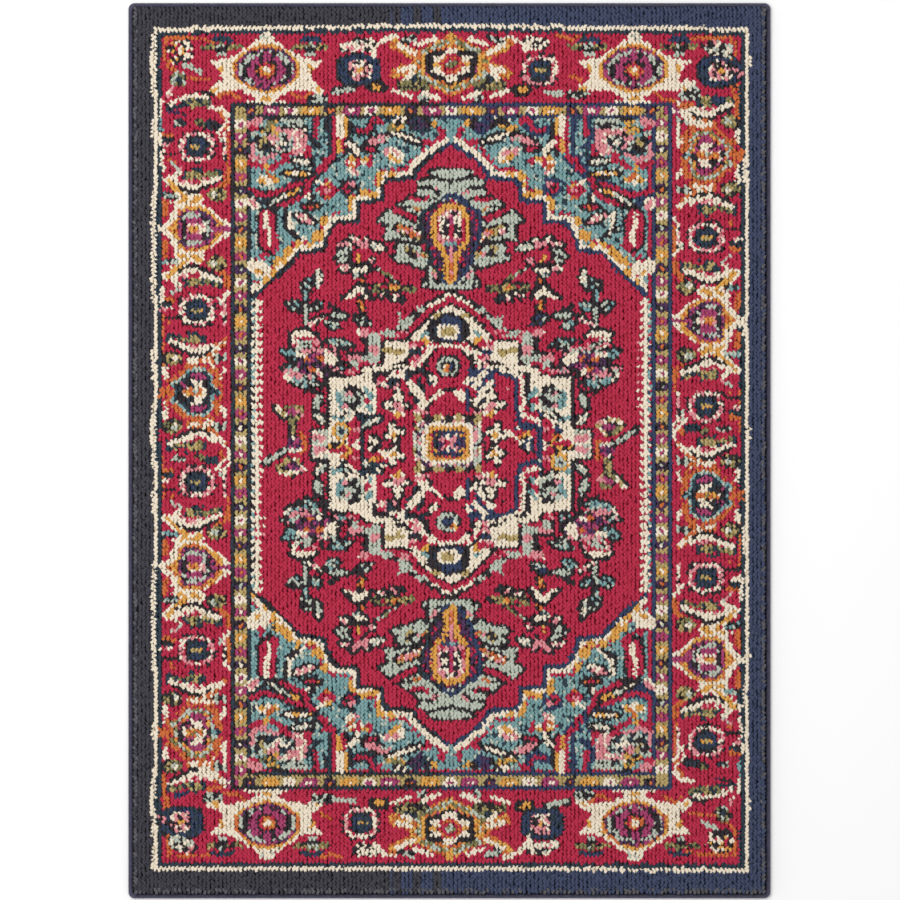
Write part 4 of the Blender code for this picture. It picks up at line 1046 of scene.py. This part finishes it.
zone[(zone == "pendant") & (Y > 1.5)] = "pendant_back"
zone[zone == "pendant"] = "pendant_front"
for end_name, end_half in (("back", Y > 1.5), ("front", Y <= 1.5)):
    for side_name, side_half in (("left", X < 0.4), ("right", X >= 0.4)):
        zone[(zone == "spandrel") & end_half & side_half] = f"spandrel_{end_name}_{side_name}"
materials = {letter: yarn_material(name, code) for letter, (name, code) in YARNS.items()}
most_ends = 9500
for region in np.unique(zone):
    node = region if region.startswith(("pendant", "spandrel")) else region + "_pile"
    for letter in np.unique(plan[zone == region]):
        where = (zone == region) & (plan == letter)
        parts = int(np.ceil(where.sum() / most_ends))
        order = np.cumsum(where.ravel()).reshape(where.shape)
        for part in range(parts):
            share = where & ((order - 1) * parts // where.sum() == part)
            number = f"_{part + 1}" if parts > 1 else ""
            piece = plant(f"{region}_{YARNS[letter][0]}{number}", share, materials[letter])
            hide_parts(node)
bpy.data.objects.remove(cut_end)


# Edge serging. The rug's edge is wrapped over a twisted cotton cord with dark violet yarn, wound close by
# machine, turn against turn, from the top of the ground weave round the cord and back under the ground.
serging_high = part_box("edge_serging")[1]
cord_low, cord_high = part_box("edge_cord")
cord_radius = (cord_high[2] - cord_low[2]) / 2
wrap_radius = serging_high[2] / 2
yarn_half = (wrap_radius - cord_radius) * 0.42
ground_low, ground_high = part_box("ground_weave")
lip_in = rug_width / 2 - pile_high[0]
corner_radius = lip_in + 0.0006
wound_pitch = 0.0011


def tube(bm, stations, closed):
    """Joins rings of points into a tube, which runs into itself or is capped at both ends."""
    rings = [[bm.verts.new(point) for point in station] for station in stations]
    sides = len(rings[0])
    pairs = list(zip(rings, rings[1:] + rings[:1])) if closed else list(zip(rings, rings[1:]))
    for a, b in pairs:
        for k in range(sides):
            bm.faces.new((a[k], a[(k + 1) % sides], b[(k + 1) % sides], b[k]))
    if not closed:
        bm.faces.new(rings[0][::-1])
        bm.faces.new(rings[-1])


def outline(inset, step):
    """Points and outward angles at an even step round the rug's rounded rectangle, starting on the right."""
    corner = corner_radius - inset
    half_x = rug_width / 2 - inset - corner
    half_y = rug_length / 2 - inset - corner
    points = []
    for quarter_turn, (sx, sy) in enumerate(((1, 1), (-1, 1), (-1, -1), (1, -1))):
        angle = quarter_turn * math.pi / 2
        run = 2 * half_y if quarter_turn % 2 == 0 else 2 * half_x
        count = round(run / step)
        out = Vector((math.cos(angle), math.sin(angle)))
        along_edge = Vector((-out.y, out.x))
        end = Vector((sx * half_x, sy * half_y)) + out * corner
        for k in range(count):
            place = end - along_edge * run * (1 - k / count)
            points.append((place.x, place.y, angle))
        arc = max(3, round(corner * math.pi / 2 / step))
        for k in range(arc):
            turn = angle + math.pi / 2 * k / arc
            out_x = corner * math.cos(turn)
            out_y = corner * math.sin(turn)
            points.append((sx * half_x + out_x, sy * half_y + out_y, turn))
    return points


bm = bmesh.new()
middle_radius = (wrap_radius + cord_radius) / 2 + 0.0001
steps = 8
route = []
for k in range(steps + 1):
    angle = math.radians(14 + 256 * k / steps)
    inward = -wrap_radius - middle_radius * math.cos(angle)
    up = wrap_radius + middle_radius * math.sin(angle)
    route.append((inward, up, angle))
route.append((-lip_in + 2 * yarn_half, wrap_radius - middle_radius, math.radians(270)))
stations = []
for k, (inward, up, angle) in enumerate(route):
    outwards = Vector((-math.cos(angle), 0, math.sin(angle)))
    slip = wound_pitch * (0.5 - k / (len(route) - 1))
    middle = Vector((inward, slip, up))
    wide = Vector((0, wound_pitch * 0.56, 0))
    deep = outwards * yarn_half
    stations.append([middle + deep, middle + wide, middle - deep, middle - wide])
tube(bm, stations, closed=False)
wound_turn = bpy.data.objects.new("wound_turn", smooth_mesh(bm, "wound_turn"))
wind_turns = stand_tree(wound_turn)


def mottled(name, low, high, tone, grain, bump, roughness):
    """A material between two colours. Tone and grain are a scale and detail, bump a strength and height."""
    material, shader = new_material(name)
    coords = add(material, "ShaderNodeTexCoord").outputs["Object"]
    drift = add(material, "ShaderNodeTexNoise", {"Vector": coords}, Scale=tone[0], Detail=tone[1])
    mix = add(material, "ShaderNodeMix", {"Factor": drift.outputs["Fac"]}, data_type="RGBA")
    mix.inputs["A"].default_value = (*srgb(low), 1)
    mix.inputs["B"].default_value = (*srgb(high), 1)
    material.node_tree.links.new(mix.outputs["Result"], shader.inputs["Base Color"])
    fine = add(material, "ShaderNodeTexNoise", {"Vector": coords}, Scale=grain[0], Detail=grain[1])
    relief = add(material, "ShaderNodeBump", {"Height": fine.outputs["Fac"]})
    relief.inputs["Strength"].default_value = bump[0]
    relief.inputs["Distance"].default_value = bump[1]
    material.node_tree.links.new(relief.outputs["Normal"], shader.inputs["Normal"])
    shader.inputs["Roughness"].default_value = roughness
    return material


# Serging yarn, a little glossier than the pile. Its shade drifts over a few turns, and fine slubs stand up.
serging = mottled(
    "serging_yarn_wound", "30303F", "55546E",
    tone=(0.286 / wound_pitch, 2.0), grain=(2.86 / wound_pitch, 2.0), bump=(0.5, 0.0002), roughness=0.6,
)

turns = outline(0, wound_pitch)
runs = 4
for run in range(runs):
    share = turns[run * len(turns) // runs : (run + 1) * len(turns) // runs]
    place = np.array([(x, y, 0) for x, y, angle in share])
    turn = np.array([(0, 0, angle) for x, y, angle in share])
    size = np.ones((len(share), 3))
    size[:, 1] += rng.normal(0, 0.05, len(share))
    mesh = stand(f"edge_serging_{run + 1}", place, turn, size, wind_turns)
    piece = link_piece(f"edge_serging_{run + 1}", mesh, serging)
    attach(piece, "root")
    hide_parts("edge_serging")
bpy.data.objects.remove(wound_turn)


# Core cord. Inside the serging lies a soft cord of three cotton strands twisted together, which gives the
# edge its round shape. It is closed in all the way round.
bm = bmesh.new()
strands = 3
lay_length = 0.016
cord_sides = 9
stations = []
ring_points = outline(wrap_radius, 0.0042)
laps = round(2 * (rug_width + rug_length) / lay_length)
for number, (x, y, angle) in enumerate(ring_points):
    twist = 2 * math.pi * laps / strands * number / len(ring_points)
    station = []
    for k in range(cord_sides):
        around = 2 * math.pi * k / cord_sides
        reach = cord_radius * (0.9 + 0.09 * math.cos(strands * around - strands * twist))
        out = reach * math.cos(around)
        up = wrap_radius + reach * math.sin(around)
        station.append((x + out * math.cos(angle), y + out * math.sin(angle), up))
    stations.append(station)
tube(bm, stations, closed=True)
# Undyed cotton, soft and matt, with short fibres standing on it.
cotton = mottled(
    "twisted_cotton_cord", "A99B82", "D8CDB6",
    tone=(1.53 / cord_radius, 3.0), grain=(1.53 / cord_radius, 3.0), bump=(0.6, 0.0003), roughness=0.9,
)
core_cord = link_piece("core_cord", smooth_mesh(bm, "core_cord"), cotton)
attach(core_cord, "root")
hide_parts("edge_cord")


# Ground weave. The pile stands in a coarse plain weave of jute weft over thin warps, one warp to each
# column of knots. It hardly shows between the ribs, so it is a single cloth with the weave's waves in it,
# and its dark colour is painted shade for the gaps between the ribs.
def woven(name, box, wave):
    """A closed cloth the size of a box, with its warps and wefts raised in turn on both faces."""
    (x0, y0, z0), (x1, y1, z1) = box
    wefts = 110
    corner = max(corner_radius - (rug_width / 2 - x1), 0.0008)
    bm = bmesh.new()
    bmesh.ops.create_grid(bm, x_segments=columns, y_segments=wefts, size=1)
    for vertex in bm.verts:
        column = round((vertex.co.x + 1) / 2 * columns)
        row = round((vertex.co.y + 1) / 2 * wefts)
        x = vertex.co.x * (x1 - x0) / 2
        y = vertex.co.y * (y1 - y0) / 2
        over_x = abs(x) - ((x1 - x0) / 2 - corner)
        over_y = abs(y) - ((y1 - y0) / 2 - corner)
        if over_x > 0 and over_y > 0:
            share = max(over_x, over_y) / math.hypot(over_x, over_y)
            x = math.copysign(abs(x) - over_x * (1 - share), x)
            y = math.copysign(abs(y) - over_y * (1 - share), y)
        rim = column in (0, columns) or row in (0, wefts)
        raised = -wave if rim or (column + row) % 2 else 0
        vertex.co = ((x0 + x1) / 2 + x, (y0 + y1) / 2 + y, z1 + raised)
    top = bm.faces[:]
    lower = bmesh.ops.duplicate(bm, geom=top)["geom"]
    for item in lower:
        if isinstance(item, bmesh.types.BMVert):
            item.co.z = z0 + (z1 - item.co.z)
    bmesh.ops.reverse_faces(bm, faces=[item for item in lower if isinstance(item, bmesh.types.BMFace)])
    bmesh.ops.bridge_loops(bm, edges=[edge for edge in bm.edges if edge.is_boundary])
    return smooth_mesh(bm, name)


# Jute yarn, hairy and quite matt, painted dark as the shade in the gaps between the ribs.
jute = mottled(
    "jute_ground_painted_shade", "2A2124", "4A3A38",
    tone=(380.0, 4.0), grain=(2280.0, 3.0), bump=(0.5, 0.0003), roughness=0.9,
)
ground = link_piece("ground_cloth", woven("ground_cloth", (ground_low, ground_high), 0.0003), jute)
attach(ground, "root")
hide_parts("ground_weave")


# Back coating. The underside carries a thin coat of latex, rolled on over the knots, so that rows of ribs
# show through it and it grips the floor.
# Cured latex, a little smoother than the yarns, in broad patches of paler and darker coat.
latex = mottled(
    "latex_coating_matt", "A79F8F", "CFC8B8",
    tone=(60.0, 4.0), grain=(360.0, 3.0), bump=(0.5, 0.0003), roughness=0.75,
)
back_low, back_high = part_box("back_coating")
back = link_piece("latex_back", woven("latex_back", (back_low, back_high), 0.0002), latex)
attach(back, "root")
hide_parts("back_coating")
